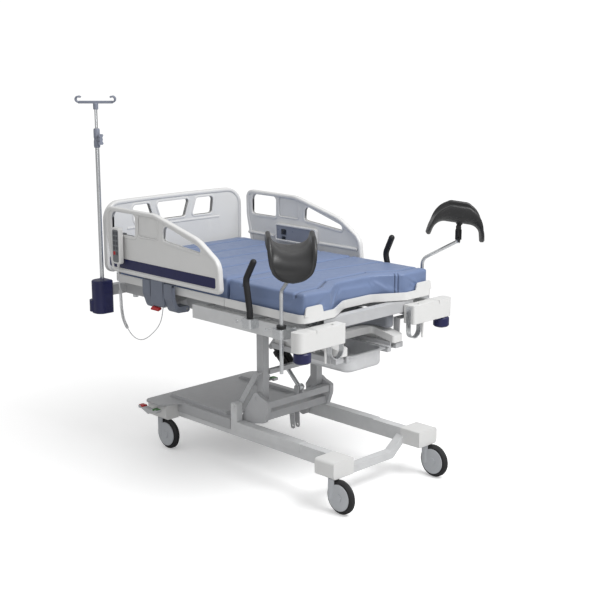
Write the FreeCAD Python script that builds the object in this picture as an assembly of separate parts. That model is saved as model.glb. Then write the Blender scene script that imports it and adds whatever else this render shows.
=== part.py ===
import FreeCAD, Part
import math
import os

os.makedirs("parts", exist_ok=True)
V = FreeCAD.Vector

# Electric birthing bed used as a gynaecological examination table.
# X runs to the foot, Y to the patient's left, Z up, floor at Z = 0.
# The origin lies on the floor, midway between the four castors.

# Running and seating clearances
RUN_FIT = 0.06
GAP = 0.4
SOFT_GAP = 0.3

# Castors
WHEEL_D = 150.0
WHEEL_W = 28.0
WHEELBASE = 1165.0
TRACK = 626.0
TRAIL = 45.0
FORK_R = 24.0
FORK_DISC_R = 58.0
FORK_DISC_T = 4.2
AXLE_R = 6.0
STEM_R = 10.0
STEM_LEN = 32.0

# Base
RAIL_IN = 222.0
RAIL_W = 44.0
RAIL_Z0 = 158.0
RAIL_H = 66.0
RAIL_WALL = 3.0
CAP_LEN = 112.0
CAP_Z0 = 152.0
CAP_OVER = 3.0
CAP_OUT = 345.0
CAP_ROUND = 14.0
BASE_HEAD_X = -700.0
PAN_FOOT_X = -215.0
PAN_Z = 234.0
RIDGE_Z = 250.0
COVER_OUT = 272.0
COVER_FLARE = 372.0
SKIRT_Z0 = 184.0
COVER_FOOT_X = 285.0
CROSSBAR_X = 430.0
CROSSBAR_W = 42.0
CROSSBAR_H = 35.0
CROSSBAR_DROP = 57.0
CROSSBAR_TOP = 192.0
CROSSBAR_FLAT = 143.0

# Brake linkage at the head end
BRAKE_X = -626.0
BRAKE_Z = 197.0
BRAKE_LEVER_Y = 392.0
BRAKE_SHAFT_R = 7.0
LEVER_W = 26.0

# Lift parallelogram
ARM_BASE = V(-160.0, 0, 180.0)
ELBOW = V(-46.0, 0, 350.0)
LINK_OFFSET = V(10.0, 0, 122.0)
ARM_IN = 196.0
ARM_T = 22.0
ARM_R = 26.0
ARM_TUBE = 32.0
ARM_TUBE_A = V(54.0, 0, -22.0)
ARM_TUBE_B = V(28.0, 0, -84.0)
PIN_R = 8.0
LINK_IN = 220.5
LINK_T = 8.0
LINK_R = 13.0
LINK_PIN_R = 6.0
COLUMN_OUT = 194.0
COLUMN_W = 36.0
COLUMN_D = 44.0
POST_W = 43.0
POST_TOP = 316.0

# Actuators
LIFT_PIVOT = V(-160.0, 0, 540.0)
LIFT_EYE = V(18.0, 0, 372.0)
BACK_PIVOT = V(-20.0, 0, 720.0)
BACK_EYE = V(-250.0, 0, 790.0)
ACT_R = 17.0
ACT_START = 30.0
ACT_LEN = 118.0
ACT_ROD_R = 10.0
LIFT_ROD_LEN = 172.0
BACK_ROD_LEN = 194.0
ACT_PIN_R = 8.0
EYE_R = 13.0
EYE_T = 18.0
LUG_PLAY = 4.0
LUG_T = 6.0
MOTOR_R = 20.0

# Upper frame
FRAME_Z0 = 740.0
FRAME_H = 50.0
LONG_IN = 290.0
LONG_W = 35.0
FRAME_HEAD_X = -925.0
FRAME_FOOT_X = 455.0
SIDE_Z0 = 738.0
SIDE_H = 62.0
SIDE_OUT = 430.0
SIDE_W = 35.0
SIDE_HEAD_X = -238.0
FOOT_ARM_X = 460.0
FOOT_ARM_D = 60.0
FOOT_ARM_IN = 222.0
FOOT_ARM_OUT = 500.0
FOOT_ARM_Z0 = 722.0
FOOT_ARM_H = 84.0
FOOT_ARM_ROUND = 26.0
SOCKET_R = 8.0
SOCKET_Y = 280.0
ROLLER_R = 37.0
ROLLER_H = 46.0
ROLLER_Y = 454.0

# Mattress support trays and cushions
TRAY_Z0 = 824.0
TRAY_LIP_Z = 860.0
TRAY_T = 6.0
TRAY_HALF = 425.0
TRAY_ROUND = 38.0
CUSHION_HALF = 408.0
CUSHION_TOP = 947.0
CUSHION_END = 449.0
CUTOUT_DEPTH = 84.0
CUTOUT_FLAT = 95.0
CUTOUT_HALF = 240.0
TRAY_REACH = 14.0
TAB_IN = 310.0
TAB_OUT = 402.0
TAB_H = 33.0
SPLIT_X = -24.0
SPLIT_GAP = 4.0
BACK_HEAD_X = -850.0

# Backrest
HINGE_X = -40.0
HINGE_Z = 812.0
HINGE_PIN_R = 6.0
BACK_BAR_IN = 250.0
BACK_BAR_W = 30.0
BACK_BAR_Z0 = 801.0

# Side rails
SAFE_OUT = 468.0
SAFE_T = 28.0
SAFE_RIM = 26.0
SAFE_SINK = 5.0
STRIPE_Z0 = 905.0
STRIPE_Z1 = 952.0
STRIPE_X0 = -812.0
STRIPE_X1 = -38.0
SWING_LOW = V(0, 372.0, 752.0)
SWING_TOP = V(0, 454.0, 868.0)
SWING_W = 56.0
SWING_X = (-560.0, -400.0)
SWING_PIN_R = 6.0

# Headboard
HEAD_X = -895.0
HEAD_T = 32.0
HEAD_HALF = 440.0
HEAD_TOP = 1203.0
HEAD_Z0 = 856.0
HEAD_CURVE = 30.0
HEAD_POST_R = 14.0
HEAD_POST_X = -902.0
HEAD_POST_Y = 250.0

# Corner bumpers and infusion pole
BUMPER_X0 = -925.0
BUMPER_X1 = -839.0
BUMPER_Y0 = HEAD_HALF - 14.0
BUMPER_Y1 = BUMPER_Y0 + 90.0
BUMPER_Z0 = 664.0
BUMPER_Z1 = 826.0
POLE_X = -874.0
POLE_Y = HEAD_HALF + 30.0
POLE_R = 10.0
POLE_TOP = 1545.0
POLE_SEAT = 100.0
MAST_R = 7.0
MAST_TOP = 1668.0
MAST_Z0 = 960.0
COLLAR_R = 15.0
COLLAR_H = 76.0
TEE_HALF = 94.0

# Leg supports
ROD_R = 8.0
ROD_Z0 = 615.0
ROD_BEND_Z = 966.0
ROD_NEAR_X = 400.0
ROD_FAR_X = 345.0
ROD_Y = 485.0
ROD_REACH = 165.0
ROD_RISE = 92.0
ROD_YAW = 31.0
ROD_BEND_R = 45.0
CLAMP_Z0 = 768.0
CLAMP_H = 42.0
BUSH_R = 13.5
JOINT_R = 15.0
JOINT_H = 46.0
PAD_YAW = 40.0
PAD_TILT = 8.0
PAD_HALF_W = 88.0
PAD_DEPTH = 75.0
PAD_WALL = 21.0
PAD_STRAIGHT = 68.0
PAD_BEND_R = 36.0
PAD_DROOP = 70.0
PAD_TONGUE = 34.0
PAD_SHIFT = -10.0

# Hand grips
GRIP_X = 175.0
GRIP_Y = 455.0
GRIP_R = 14.0
GRIP_Z0 = 812.0
GRIP_BEND_Z = 972.0
GRIP_LEAN = 28.0

# Leg section, basin and their guides
LEG_X0 = 60.0
LEG_NOTCH_X = 333.0
LEG_X1 = 465.0
LEG_HALF = 214.0
LEG_NOTCH_HALF = 148.0
LEG_TOP = 700.0
LEG_T = 33.0
LEG_DROP = 27.0
LEG_PAD_T = 62.0
GUIDE_Z0 = 612.0
GUIDE_H = 24.0
GUIDE_IN = 172.0
GUIDE_W = 48.0
BASIN_X0 = 123.0
BASIN_LEN = 325.0
BASIN_HALF = 132.5
BASIN_RIM_Z = 623.0
BASIN_DEPTH = 80.0
BASIN_T = 1.5
BASIN_RIM = 14.0

# Handset and cord
HANDSET_X = -712.0
HANDSET_W = 58.0
HANDSET_Z0 = 930.0
HANDSET_H = 175.0
HANDSET_T = 26.0
CORD_R = 2.5
COIL_R = 9.0


def box(x0, x1, y0, y1, z0, z1):
    """Closed block between two corners."""
    return Part.makeBox(x1 - x0, y1 - y0, z1 - z0, V(x0, y0, z0))


def rod(start, end, radius):
    """Round bar from one point to another."""
    direction = end.sub(start)
    return Part.makeCylinder(radius, direction.Length, start, direction)


def pin_y(x, y0, y1, z, radius):
    """Round bar along Y."""
    low = min(y0, y1)
    return Part.makeCylinder(radius, abs(y1 - y0), V(x, low, z), V(0, 1, 0))


def pin_x(x0, x1, y, z, radius):
    """Round bar along X."""
    return Part.makeCylinder(radius, x1 - x0, V(x0, y, z), V(1, 0, 0))


def pin_z(x, y, z0, z1, radius):
    """Round bar along Z."""
    return Part.makeCylinder(radius, z1 - z0, V(x, y, z0), V(0, 0, 1))


def rounded_wire(points, radii):
    """Closed outline through the points, each corner turned with its own radius."""
    count = len(points)
    edges = []
    ends = []
    for i in range(count):
        here = points[i]
        before = points[i - 1].sub(here)
        after = points[(i + 1) % count].sub(here)
        radius = radii[i]
        if radius <= 0:
            ends.append((here, here, None))
            continue
        before.normalize()
        after.normalize()
        half = before.getAngle(after) / 2.0
        reach = radius / math.tan(half)
        bisector = before.add(after)
        bisector.normalize()
        centre = here.add(bisector.multiply(radius / math.sin(half)))
        first = here.add(V(before).multiply(reach))
        last = here.add(V(after).multiply(reach))
        inward = here.sub(centre)
        inward.normalize()
        middle = centre.add(inward.multiply(radius))
        ends.append((first, last, middle))
    for i in range(count):
        first, last, middle = ends[i]
        if middle is not None:
            edges.append(Part.Arc(first, middle, last).toShape())
        following = ends[(i + 1) % count][0]
        if last.sub(following).Length > 0.001:
            edges.append(Part.LineSegment(last, following).toShape())
    return Part.Wire(edges)


def prism(points, radii, direction):
    """Solid made by pushing a rounded outline along a direction."""
    if not isinstance(radii, (list, tuple)):
        radii = [radii] * len(points)
    return Part.Face(rounded_wire(points, radii)).extrude(direction)


def plate_xz(pairs, radii, y0, y1):
    return prism([V(x, y0, z) for x, z in pairs], radii, V(0, y1 - y0, 0))


def plate_yz(pairs, radii, x0, x1):
    return prism([V(x0, y, z) for y, z in pairs], radii, V(x1 - x0, 0, 0))


def plate_xy(pairs, radii, z0, z1):
    return prism([V(x, y, z0) for x, y in pairs], radii, V(0, 0, z1 - z0))


def rectangle(a0, a1, b0, b1):
    return [(a0, b0), (a1, b0), (a1, b1), (a0, b1)]


def tube(x0, x1, y0, y1, z0, z1, wall, along):
    """Rectangular hollow section, open at both ends along the named axis."""
    outer = box(x0, x1, y0, y1, z0, z1)
    if along == "x":
        inner = box(x0 - 1, x1 + 1, y0 + wall, y1 - wall, z0 + wall, z1 - wall)
    elif along == "y":
        inner = box(x0 + wall, x1 - wall, y0 - 1, y1 + 1, z0 + wall, z1 - wall)
    else:
        inner = box(x0 + wall, x1 - wall, y0 + wall, y1 - wall, z0 - 1, z1 + 1)
    return outer.cut(inner)


def fuse(solids):
    """One solid from several that touch or overlap."""
    whole = solids[0]
    for other in solids[1:]:
        whole = whole.fuse(other)
    return whole.removeSplitter()


def mirrored(shape):
    """The same piece on the other side of the bed."""
    return shape.mirror(V(0, 0, 0), V(0, 1, 0))


def both_sides(shape):
    return [shape, mirrored(shape)]


def turned(shape, centre, axis, degrees):
    copy = shape.copy()
    copy.rotate(centre, axis, degrees)
    return copy


def moved(shape, offset):
    copy = shape.copy()
    copy.translate(offset)
    return copy


def solids_of(pieces):
    found = []
    for piece in pieces:
        found.extend(piece.Solids)
    return found


def export(name, pieces):
    """Write one node; several pieces become a group of separate solids."""
    if not isinstance(pieces, (list, tuple)):
        pieces = [pieces]
    solids = solids_of(pieces)
    shape = solids[0] if len(solids) == 1 else Part.makeCompound(solids)
    shape.exportStep(os.path.join("parts", name + ".step"))


def castor_fork(x, y):
    """Housing with its slot, two cover discs, axle and swivel stem."""
    wheel = V(x, y, WHEEL_D / 2)
    stem_x = x - TRAIL
    slot_half = WHEEL_W / 2 + 1.5
    body = pin_z(stem_x, y, 60.0, CAP_Z0 - 1.0, FORK_R)
    slot = pin_y(wheel.x, y - slot_half, y + slot_half, wheel.z, WHEEL_D / 2 + 4.0)
    body = body.cut(slot)
    for side in (-1, 1):
        inner = y + side * slot_half
        outer = inner + side * FORK_DISC_T
        disc = pin_y(wheel.x, inner, outer, wheel.z, FORK_DISC_R)
        hub = pin_y(wheel.x, outer, outer + side * 3.0, wheel.z, 18.0)
        body = body.fuse(disc).fuse(hub)
    axle = pin_y(wheel.x, y - slot_half - 5.0, y + slot_half + 5.0, wheel.z, AXLE_R)
    stem = pin_z(stem_x, y, CAP_Z0 - 2.0, CAP_Z0 - 2.0 + STEM_LEN, STEM_R)
    return fuse([body, axle, stem])


def castor_wheel(x, y):
    """Tyre and hub as one revolved body with a plain bore."""
    half = WHEEL_W / 2
    radius = WHEEL_D / 2
    hub_half = half + 1.2
    bore = AXLE_R + RUN_FIT
    profile = [
        (bore, -hub_half), (20.0, -hub_half), (22.0, -half + 3.0), (50.0, -half + 3.0),
        (54.0, -half), (radius - 8.0, -half), (radius, -half + 8.0), (radius, half - 8.0),
        (radius - 8.0, half), (54.0, half), (50.0, half - 3.0), (22.0, half - 3.0),
        (20.0, hub_half), (bore, hub_half),
    ]
    points = [V(x + r, y + w, radius) for r, w in profile]
    face = Part.Face(Part.makePolygon(points + points[:1]))
    return face.revolve(V(x, y, radius), V(0, 1, 0), 360)


for end, end_x in (("head", -WHEELBASE / 2), ("foot", WHEELBASE / 2)):
    for side, side_y in (("near", -TRACK / 2), ("far", TRACK / 2)):
        export("castor_fork_" + end + "_" + side, castor_fork(end_x, side_y))
        export("castor_wheel_" + end + "_" + side, castor_wheel(end_x, side_y))

HEAD_STEM_X = -WHEELBASE / 2 - TRAIL
FOOT_STEM_X = WHEELBASE / 2 - TRAIL


def corner_cap(x0, x1, y0, stem_x):
    """Moulded block that closes a rail end and carries the castor stem."""
    corners = rectangle(y0, CAP_OUT, CAP_Z0, RAIL_Z0 + RAIL_H + CAP_OVER)
    block = plate_yz(corners, [4.0, CAP_ROUND, CAP_ROUND, 6.0], x0, x1)
    bore = pin_z(stem_x, TRACK / 2, CAP_Z0 - 1, CAP_Z0 + STEM_LEN, STEM_R + RUN_FIT)
    return block.cut(bore)


rail_out = RAIL_IN + RAIL_W
rail_top = RAIL_Z0 + RAIL_H
foot_cap_x1 = FOOT_STEM_X + 30.0
foot_cap_x0 = foot_cap_x1 - CAP_LEN
rail_foot_x = foot_cap_x0 + 60.0
head_rail_x = BASE_HEAD_X + 60.0

brake_bore = pin_y(BRAKE_X, RAIL_IN - 1, CAP_OUT + 1, BRAKE_Z, BRAKE_SHAFT_R + RUN_FIT)
base_parts = []
rail = tube(head_rail_x, rail_foot_x, RAIL_IN, rail_out, RAIL_Z0, rail_top, RAIL_WALL, "x")
rail = rail.cut(pin_y(ARM_BASE.x, RAIL_IN - 1, RAIL_IN + RAIL_WALL + 1, ARM_BASE.z, 17.0))
rail = rail.cut(brake_bore)
boss = pin_y(ARM_BASE.x, RAIL_IN, RAIL_IN + 30.0, ARM_BASE.z, 17.0)
boss = boss.cut(pin_y(ARM_BASE.x, RAIL_IN - 1, RAIL_IN + 31.0, ARM_BASE.z, PIN_R + RUN_FIT))
LINK_LOW = ARM_BASE.add(LINK_OFFSET)
LINK_HIGH = ELBOW.add(LINK_OFFSET)
post = plate_xz(
    rectangle(LINK_LOW.x - POST_W / 2, LINK_LOW.x + POST_W / 2, rail_top, POST_TOP),
    [0, 0, 13.0, 13.0],
    rail_out - 34.0,
    rail_out,
)
link_pin = pin_y(LINK_LOW.x, LINK_IN, rail_out - 34.0, LINK_LOW.z, LINK_PIN_R)
link_bolt = pin_y(LINK_LOW.x, rail_out, rail_out + 5.0, LINK_LOW.z, 9.0)
post = fuse([post, link_pin, link_bolt])
base_parts = both_sides(rail) + both_sides(boss) + both_sides(post)
base_parts.append(tube(-640.0, -590.0, -RAIL_IN, RAIL_IN, 165.0, 215.0, RAIL_WALL, "y"))
base_parts.append(tube(-240.0, -200.0, -RAIL_IN, RAIL_IN, 160.0, 205.0, RAIL_WALL, "y"))

foot_cap = corner_cap(foot_cap_x0, foot_cap_x1, RAIL_IN - CAP_OVER, FOOT_STEM_X)
foot_cap = foot_cap.cut(
    box(foot_cap_x0 - 1, rail_foot_x, RAIL_IN, rail_out, RAIL_Z0, rail_top)
)

head_cap = corner_cap(BASE_HEAD_X, BASE_HEAD_X + 140.0, rail_out, HEAD_STEM_X)
head_tie = box(BASE_HEAD_X + 8.0, head_rail_x, RAIL_IN, rail_out + 8.0, 166.0, 216.0)
head_cap = fuse([head_cap, head_tie]).cut(brake_bore)
export("corner_caps", both_sides(foot_cap) + both_sides(head_cap))

cap_top = rail_top + CAP_OVER
crossbar_profile = [
    (-RAIL_IN, CROSSBAR_TOP), (-CROSSBAR_FLAT, CROSSBAR_TOP - CROSSBAR_DROP),
    (CROSSBAR_FLAT, CROSSBAR_TOP - CROSSBAR_DROP), (RAIL_IN, CROSSBAR_TOP),
    (RAIL_IN, CROSSBAR_TOP - CROSSBAR_H),
    (CROSSBAR_FLAT + 7.0, CROSSBAR_TOP - CROSSBAR_DROP - CROSSBAR_H),
    (-CROSSBAR_FLAT - 7.0, CROSSBAR_TOP - CROSSBAR_DROP - CROSSBAR_H),
    (-RAIL_IN, CROSSBAR_TOP - CROSSBAR_H),
]
crossbar = plate_yz(
    crossbar_profile, [0, 12.0, 12.0, 0, 0, 22.0, 22.0, 0], CROSSBAR_X, CROSSBAR_X + CROSSBAR_W
)
for cap in both_sides(foot_cap):
    crossbar = crossbar.cut(cap)
for y0, y1 in ((-RAIL_IN, -CROSSBAR_FLAT), (-CROSSBAR_FLAT, CROSSBAR_FLAT), (CROSSBAR_FLAT, RAIL_IN)):
    length = box(CROSSBAR_X - 1, CROSSBAR_X + CROSSBAR_W + 1, y0, y1, 60.0, CROSSBAR_TOP + 20.0)
    base_parts.append(crossbar.common(length))
export("base_frame", base_parts)

# Head cover: a pan between the rails, flared over the head caps
pan_low = cap_top
pan_top = PAN_Z
flare = [
    (BASE_HEAD_X - 4.0, -COVER_FLARE), (BASE_HEAD_X - 4.0, COVER_FLARE),
    (BASE_HEAD_X + 128.0, COVER_FLARE), (BASE_HEAD_X + 178.0, COVER_OUT),
    (PAN_FOOT_X, COVER_OUT), (PAN_FOOT_X, -COVER_OUT),
    (BASE_HEAD_X + 178.0, -COVER_OUT), (BASE_HEAD_X + 128.0, -COVER_FLARE),
]
pan = plate_xy(flare, [40.0, 40.0, 30.0, 20.0, 0, 0, 20.0, 30.0], pan_low, pan_top)
cover_solids = [pan]
cover_end_x = LINK_LOW.x - POST_W / 2 - 2.0
strip = box(PAN_FOOT_X, cover_end_x, ARM_IN + ARM_T + 3.0, COVER_OUT, pan_low, pan_top)
skirt = box(BASE_HEAD_X + 142.0, cover_end_x, rail_out + GAP, COVER_OUT, SKIRT_Z0, pan_low)
ridge_profile = [
    (BASE_HEAD_X + 44.0, pan_top), (PAN_FOOT_X - 4.0, pan_top),
    (PAN_FOOT_X - 16.0, RIDGE_Z), (BASE_HEAD_X + 70.0, RIDGE_Z),
]
ridge = plate_xz(ridge_profile, [0, 0, 8.0, 12.0], 212.0, 246.0)
for piece in (strip, skirt, ridge):
    cover_solids.extend(both_sides(piece))
export("base_cover", fuse(cover_solids))

cover_start_x = LINK_LOW.x + POST_W / 2 + 2.0
cover_section = [
    (RAIL_IN, rail_top), (RAIL_IN, rail_top + 3.6), (rail_out + 3.4, rail_top + 3.6),
    (rail_out + 3.4, SKIRT_Z0), (rail_out, SKIRT_Z0), (rail_out, rail_top),
]
rail_cover = plate_yz(cover_section, [0, 1.5, 3.0, 0, 0, 0], cover_start_x, COVER_FOOT_X)
export("rail_covers", both_sides(rail_cover))

# Brake shaft with a see-saw lever at each end
lever_profile = [
    (BRAKE_X - 54.0, BRAKE_Z + 6.0), (BRAKE_X, BRAKE_Z - 13.0), (BRAKE_X + 54.0, BRAKE_Z + 6.0),
    (BRAKE_X + 54.0, BRAKE_Z + 18.0), (BRAKE_X, BRAKE_Z + 11.0), (BRAKE_X - 54.0, BRAKE_Z + 18.0),
]
lever = plate_xz(
    lever_profile, [4.0, 10.0, 4.0, 4.0, 10.0, 4.0],
    BRAKE_LEVER_Y - LEVER_W / 2, BRAKE_LEVER_Y + LEVER_W / 2,
)
tip = plate_xz(
    rectangle(BRAKE_X - 72.0, BRAKE_X - 54.0, BRAKE_Z + 5.0, BRAKE_Z + 20.0), 4.0,
    BRAKE_LEVER_Y - LEVER_W / 2 - 2.0, BRAKE_LEVER_Y + LEVER_W / 2 + 2.0,
)
tip_foot = moved(tip, V(126.0, 0, 0))
shaft_half = BRAKE_LEVER_Y - LEVER_W / 2
brake_shaft = pin_y(BRAKE_X, -shaft_half, shaft_half, BRAKE_Z, BRAKE_SHAFT_R)
brake = [fuse([brake_shaft] + both_sides(lever))]
brake += both_sides(tip) + both_sides(tip_foot)
export("brake_bar", brake)

# Lift arms: two plates, two cross tubes, lugs for the lift actuator
arm_run = ELBOW.sub(ARM_BASE)
arm_run.normalize()
arm_side = V(-arm_run.z, 0, arm_run.x)


def arm_point(centre, along, across):
    spot = centre.add(V(arm_run).multiply(along)).add(V(arm_side).multiply(across))
    return (spot.x, spot.z)


arm_outline = [
    arm_point(ARM_BASE, -ARM_R, ARM_R), arm_point(ARM_BASE, -ARM_R, -ARM_R),
    arm_point(ARM_BASE, 60.0, -ARM_R),
    (ELBOW.x + ARM_TUBE_B.x + 24.0, ELBOW.z + ARM_TUBE_B.z - 24.0),
    (ELBOW.x + ARM_TUBE_A.x + 22.0, ELBOW.z + ARM_TUBE_A.z - 22.0),
    (ELBOW.x + ARM_TUBE_A.x + 22.0, ELBOW.z + ARM_TUBE_A.z + 20.0),
    arm_point(ELBOW, ARM_R, -14.0), arm_point(ELBOW, ARM_R, ARM_R),
]
arm_plate = plate_xz(
    arm_outline, [25.0, 25.0, 30.0, 14.0, 16.0, 8.0, 8.0, 25.0], ARM_IN, ARM_IN + ARM_T
)
elbow_bore = pin_y(ELBOW.x, ARM_IN - 1, ARM_IN + ARM_T + 1, ELBOW.z, PIN_R + RUN_FIT)
arm_plate = arm_plate.cut(elbow_bore)
arm_pin = pin_y(ARM_BASE.x, ARM_IN + ARM_T - 1, RAIL_IN + 27.0, ARM_BASE.z, PIN_R)
arm_plate = arm_plate.fuse(arm_pin)
arm_solids = both_sides(arm_plate)
for centre, size in ((ARM_TUBE_A, ARM_TUBE), (ARM_TUBE_B, ARM_TUBE + 4.0)):
    at = ELBOW.add(centre)
    half = size / 2
    arm_solids.append(
        tube(at.x - half, at.x + half, -ARM_IN, ARM_IN, at.z - half, at.z + half, 3.0, "y")
    )
tube_a = ELBOW.add(ARM_TUBE_A)
tube_b = ELBOW.add(ARM_TUBE_B)
eye_lug = [
    (tube_a.x - 14.0, tube_a.z + ARM_TUBE / 2), (tube_a.x + 15.0, tube_a.z + ARM_TUBE / 2),
    (LIFT_EYE.x + 15.0, LIFT_EYE.z + 15.0), (LIFT_EYE.x - 15.0, LIFT_EYE.z + 15.0),
]
low_lug = [
    (tube_b.x - 16.0, tube_b.z - 18.0), (-22.0, 166.0), (2.0, 166.0), (tube_b.x + 17.0, tube_b.z - 18.0),
]
for y in (EYE_T / 2 + LUG_PLAY, -EYE_T / 2 - LUG_PLAY - LUG_T):
    arm_solids.append(plate_xz(eye_lug, [0, 0, 14.0, 14.0], y, y + LUG_T))
    low = plate_xz(low_lug, [0, 10.0, 10.0, 0], y, y + LUG_T)
    arm_solids.append(low.cut(pin_y(-11.0, y - 1, y + LUG_T + 1, 180.0, 6.0)))
    stub_y = y + LUG_T if y > 0 else y - 4.0
    arm_solids.append(pin_y(LIFT_EYE.x, stub_y, stub_y + 4.0, LIFT_EYE.z, 9.0))
export("lift_arms", arm_solids)

# Levelling links
link_run = LINK_HIGH.sub(LINK_LOW)
link_run.normalize()
link_outline = []
for centre, along, across in (
    (LINK_LOW, -LINK_R, LINK_R), (LINK_LOW, -LINK_R, -LINK_R),
    (LINK_HIGH, LINK_R, -LINK_R), (LINK_HIGH, LINK_R, LINK_R),
):
    link_outline.append(arm_point(centre, along, across))
link = plate_xz(link_outline, LINK_R - 0.5, LINK_IN + 0.5, LINK_IN + 0.5 + LINK_T)
for centre in (LINK_LOW, LINK_HIGH):
    link = link.cut(
        pin_y(centre.x, LINK_IN - 1, LINK_IN + LINK_T + 2, centre.z, LINK_PIN_R + RUN_FIT)
    )
export("lift_links", both_sides(link))


def bent_path(points, bend):
    """Straight runs joined by tangent arcs; bend is one radius or one per corner."""
    corners = len(points) - 2
    radii = bend if isinstance(bend, (list, tuple)) else [bend] * corners
    edges = []
    start = points[0]
    for i in range(corners):
        here = points[i + 1]
        before = points[i].sub(here)
        after = points[i + 2].sub(here)
        before.normalize()
        after.normalize()
        half = before.getAngle(after) / 2.0
        reach = radii[i] / math.tan(half)
        bisector = before.add(after)
        bisector.normalize()
        centre = here.add(V(bisector).multiply(radii[i] / math.sin(half)))
        first = here.add(V(before).multiply(reach))
        last = here.add(V(after).multiply(reach))
        inward = here.sub(centre)
        inward.normalize()
        edges.append(Part.LineSegment(start, first).toShape())
        middle = centre.add(inward.multiply(radii[i]))
        edges.append(Part.Arc(first, middle, last).toShape())
        start = last
    edges.append(Part.LineSegment(start, points[-1]).toShape())
    return Part.Wire(edges)


def bent_rod(points, bend, radius, inner=0.0):
    """Round bar or tube swept along a bent path."""
    path = bent_path(points, bend)
    direction = points[1].sub(points[0])
    rings = [radius] + ([inner] if inner else [])
    swept = []
    for ring in rings:
        circle = Part.Wire([Part.Circle(points[0], direction, ring).toShape()])
        swept.append(path.makePipeShell([circle], True, False))
    return swept[0].cut(swept[1]) if inner else swept[0]


def actuator(pivot, eye, motor_side, rod_length):
    """Motor tube with rear eye, and the piston rod with its front eye."""
    run = eye.sub(pivot)
    run.normalize()

    def at(distance):
        return pivot.add(V(run).multiply(distance))

    across = V(0, 1, 0)
    rear = Part.makeCylinder(EYE_R, EYE_T, pivot.add(V(0, -EYE_T / 2, 0)), across)
    neck = rod(at(6.0), at(ACT_START + 2.0), EYE_T / 2 - 1.0)
    barrel = rod(at(ACT_START), at(ACT_LEN), ACT_R)
    barrel = barrel.cut(rod(at(ACT_START + 14.0), at(ACT_LEN + 1), ACT_ROD_R + 2.0))
    gland = rod(at(ACT_LEN - 10.0), at(ACT_LEN), ACT_R - 1.0)
    gland = gland.cut(rod(at(ACT_LEN - 11.0), at(ACT_LEN + 1), ACT_ROD_R + RUN_FIT))
    offset = V(0, motor_side * (ACT_R + MOTOR_R + 5.0), 0)
    can = rod(at(ACT_START).add(offset), at(ACT_LEN - 8.0).add(offset), MOTOR_R)
    hollow = rod(at(ACT_START + 14.0), at(ACT_LEN + 1), ACT_ROD_R + 2.0)
    gear = rod(at(ACT_START), at(ACT_START + 22.0), ACT_R + 3.0).cut(hollow)
    bridge_y = sorted((0.0, offset.y))
    near, away = at(ACT_START + 2.0), at(ACT_START + 22.0)
    bridge_profile = [
        (near.x - run.z * 13, near.z + run.x * 13), (away.x - run.z * 13, away.z + run.x * 13),
        (away.x + run.z * 13, away.z - run.x * 13), (near.x + run.z * 13, near.z - run.x * 13),
    ]
    bridge = plate_xz(bridge_profile, 0, bridge_y[0], bridge_y[1]).cut(hollow)
    motor = fuse([barrel, gland, rear, neck, gear, bridge, can])
    motor = motor.cut(
        Part.makeCylinder(ACT_PIN_R + RUN_FIT, EYE_T + 2, pivot.add(V(0, -EYE_T / 2 - 1, 0)), across)
    )
    length = eye.sub(pivot).Length
    piston = rod(at(length - rod_length), at(length), ACT_ROD_R)
    front = Part.makeCylinder(EYE_R, EYE_T, eye.add(V(0, -EYE_T / 2, 0)), across)
    piston = fuse([piston, front])
    piston = piston.cut(
        Part.makeCylinder(ACT_PIN_R - 2.0, EYE_T + 2, eye.add(V(0, -EYE_T / 2 - 1, 0)), across)
    )
    return motor, piston


lift_motor, lift_rod = actuator(LIFT_PIVOT, LIFT_EYE, 1, LIFT_ROD_LEN)
export("lift_motor", lift_motor)
export("lift_rod", lift_rod)
back_motor, back_rod = actuator(BACK_PIVOT, BACK_EYE, -1, BACK_ROD_LEN)
export("back_motor", back_motor)
export("back_rod", back_rod)

# Upper frame with columns, brackets, guides and headboard sockets
frame = []
long_out = LONG_IN + LONG_W
frame_top = FRAME_Z0 + FRAME_H
frame += both_sides(
    tube(FRAME_HEAD_X + 45.0, FRAME_FOOT_X, LONG_IN, long_out, FRAME_Z0, frame_top, 3.0, "x")
)
head_x1 = FRAME_HEAD_X + 45.0
socket_half = 25.0
post_y = HEAD_POST_Y
frame.append(
    tube(FRAME_HEAD_X, head_x1, -post_y + socket_half, post_y - socket_half,
         FRAME_Z0, frame_top, 3.0, "y")
)
outer_beam = tube(
    FRAME_HEAD_X, head_x1, post_y + socket_half, BUMPER_Y0, FRAME_Z0, frame_top, 3.0, "y"
)
frame += both_sides(outer_beam)
socket = box(FRAME_HEAD_X, head_x1, post_y - socket_half, post_y + socket_half, FRAME_Z0, frame_top)
socket = socket.cut(
    pin_z(HEAD_POST_X, post_y, FRAME_Z0 - 1, frame_top + 1, HEAD_POST_R + RUN_FIT)
)
frame += both_sides(socket)
frame.append(tube(415.0, FRAME_FOOT_X, -LONG_IN, LONG_IN, 770.0, 820.0, 3.0, "y"))
frame.append(tube(18.0, 56.0, -long_out, long_out, FRAME_Z0 - 40.0, FRAME_Z0, 3.0, "y"))
frame.append(tube(-620.0, -580.0, -long_out, long_out, FRAME_Z0 - 30.0, FRAME_Z0, 3.0, "y"))

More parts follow.
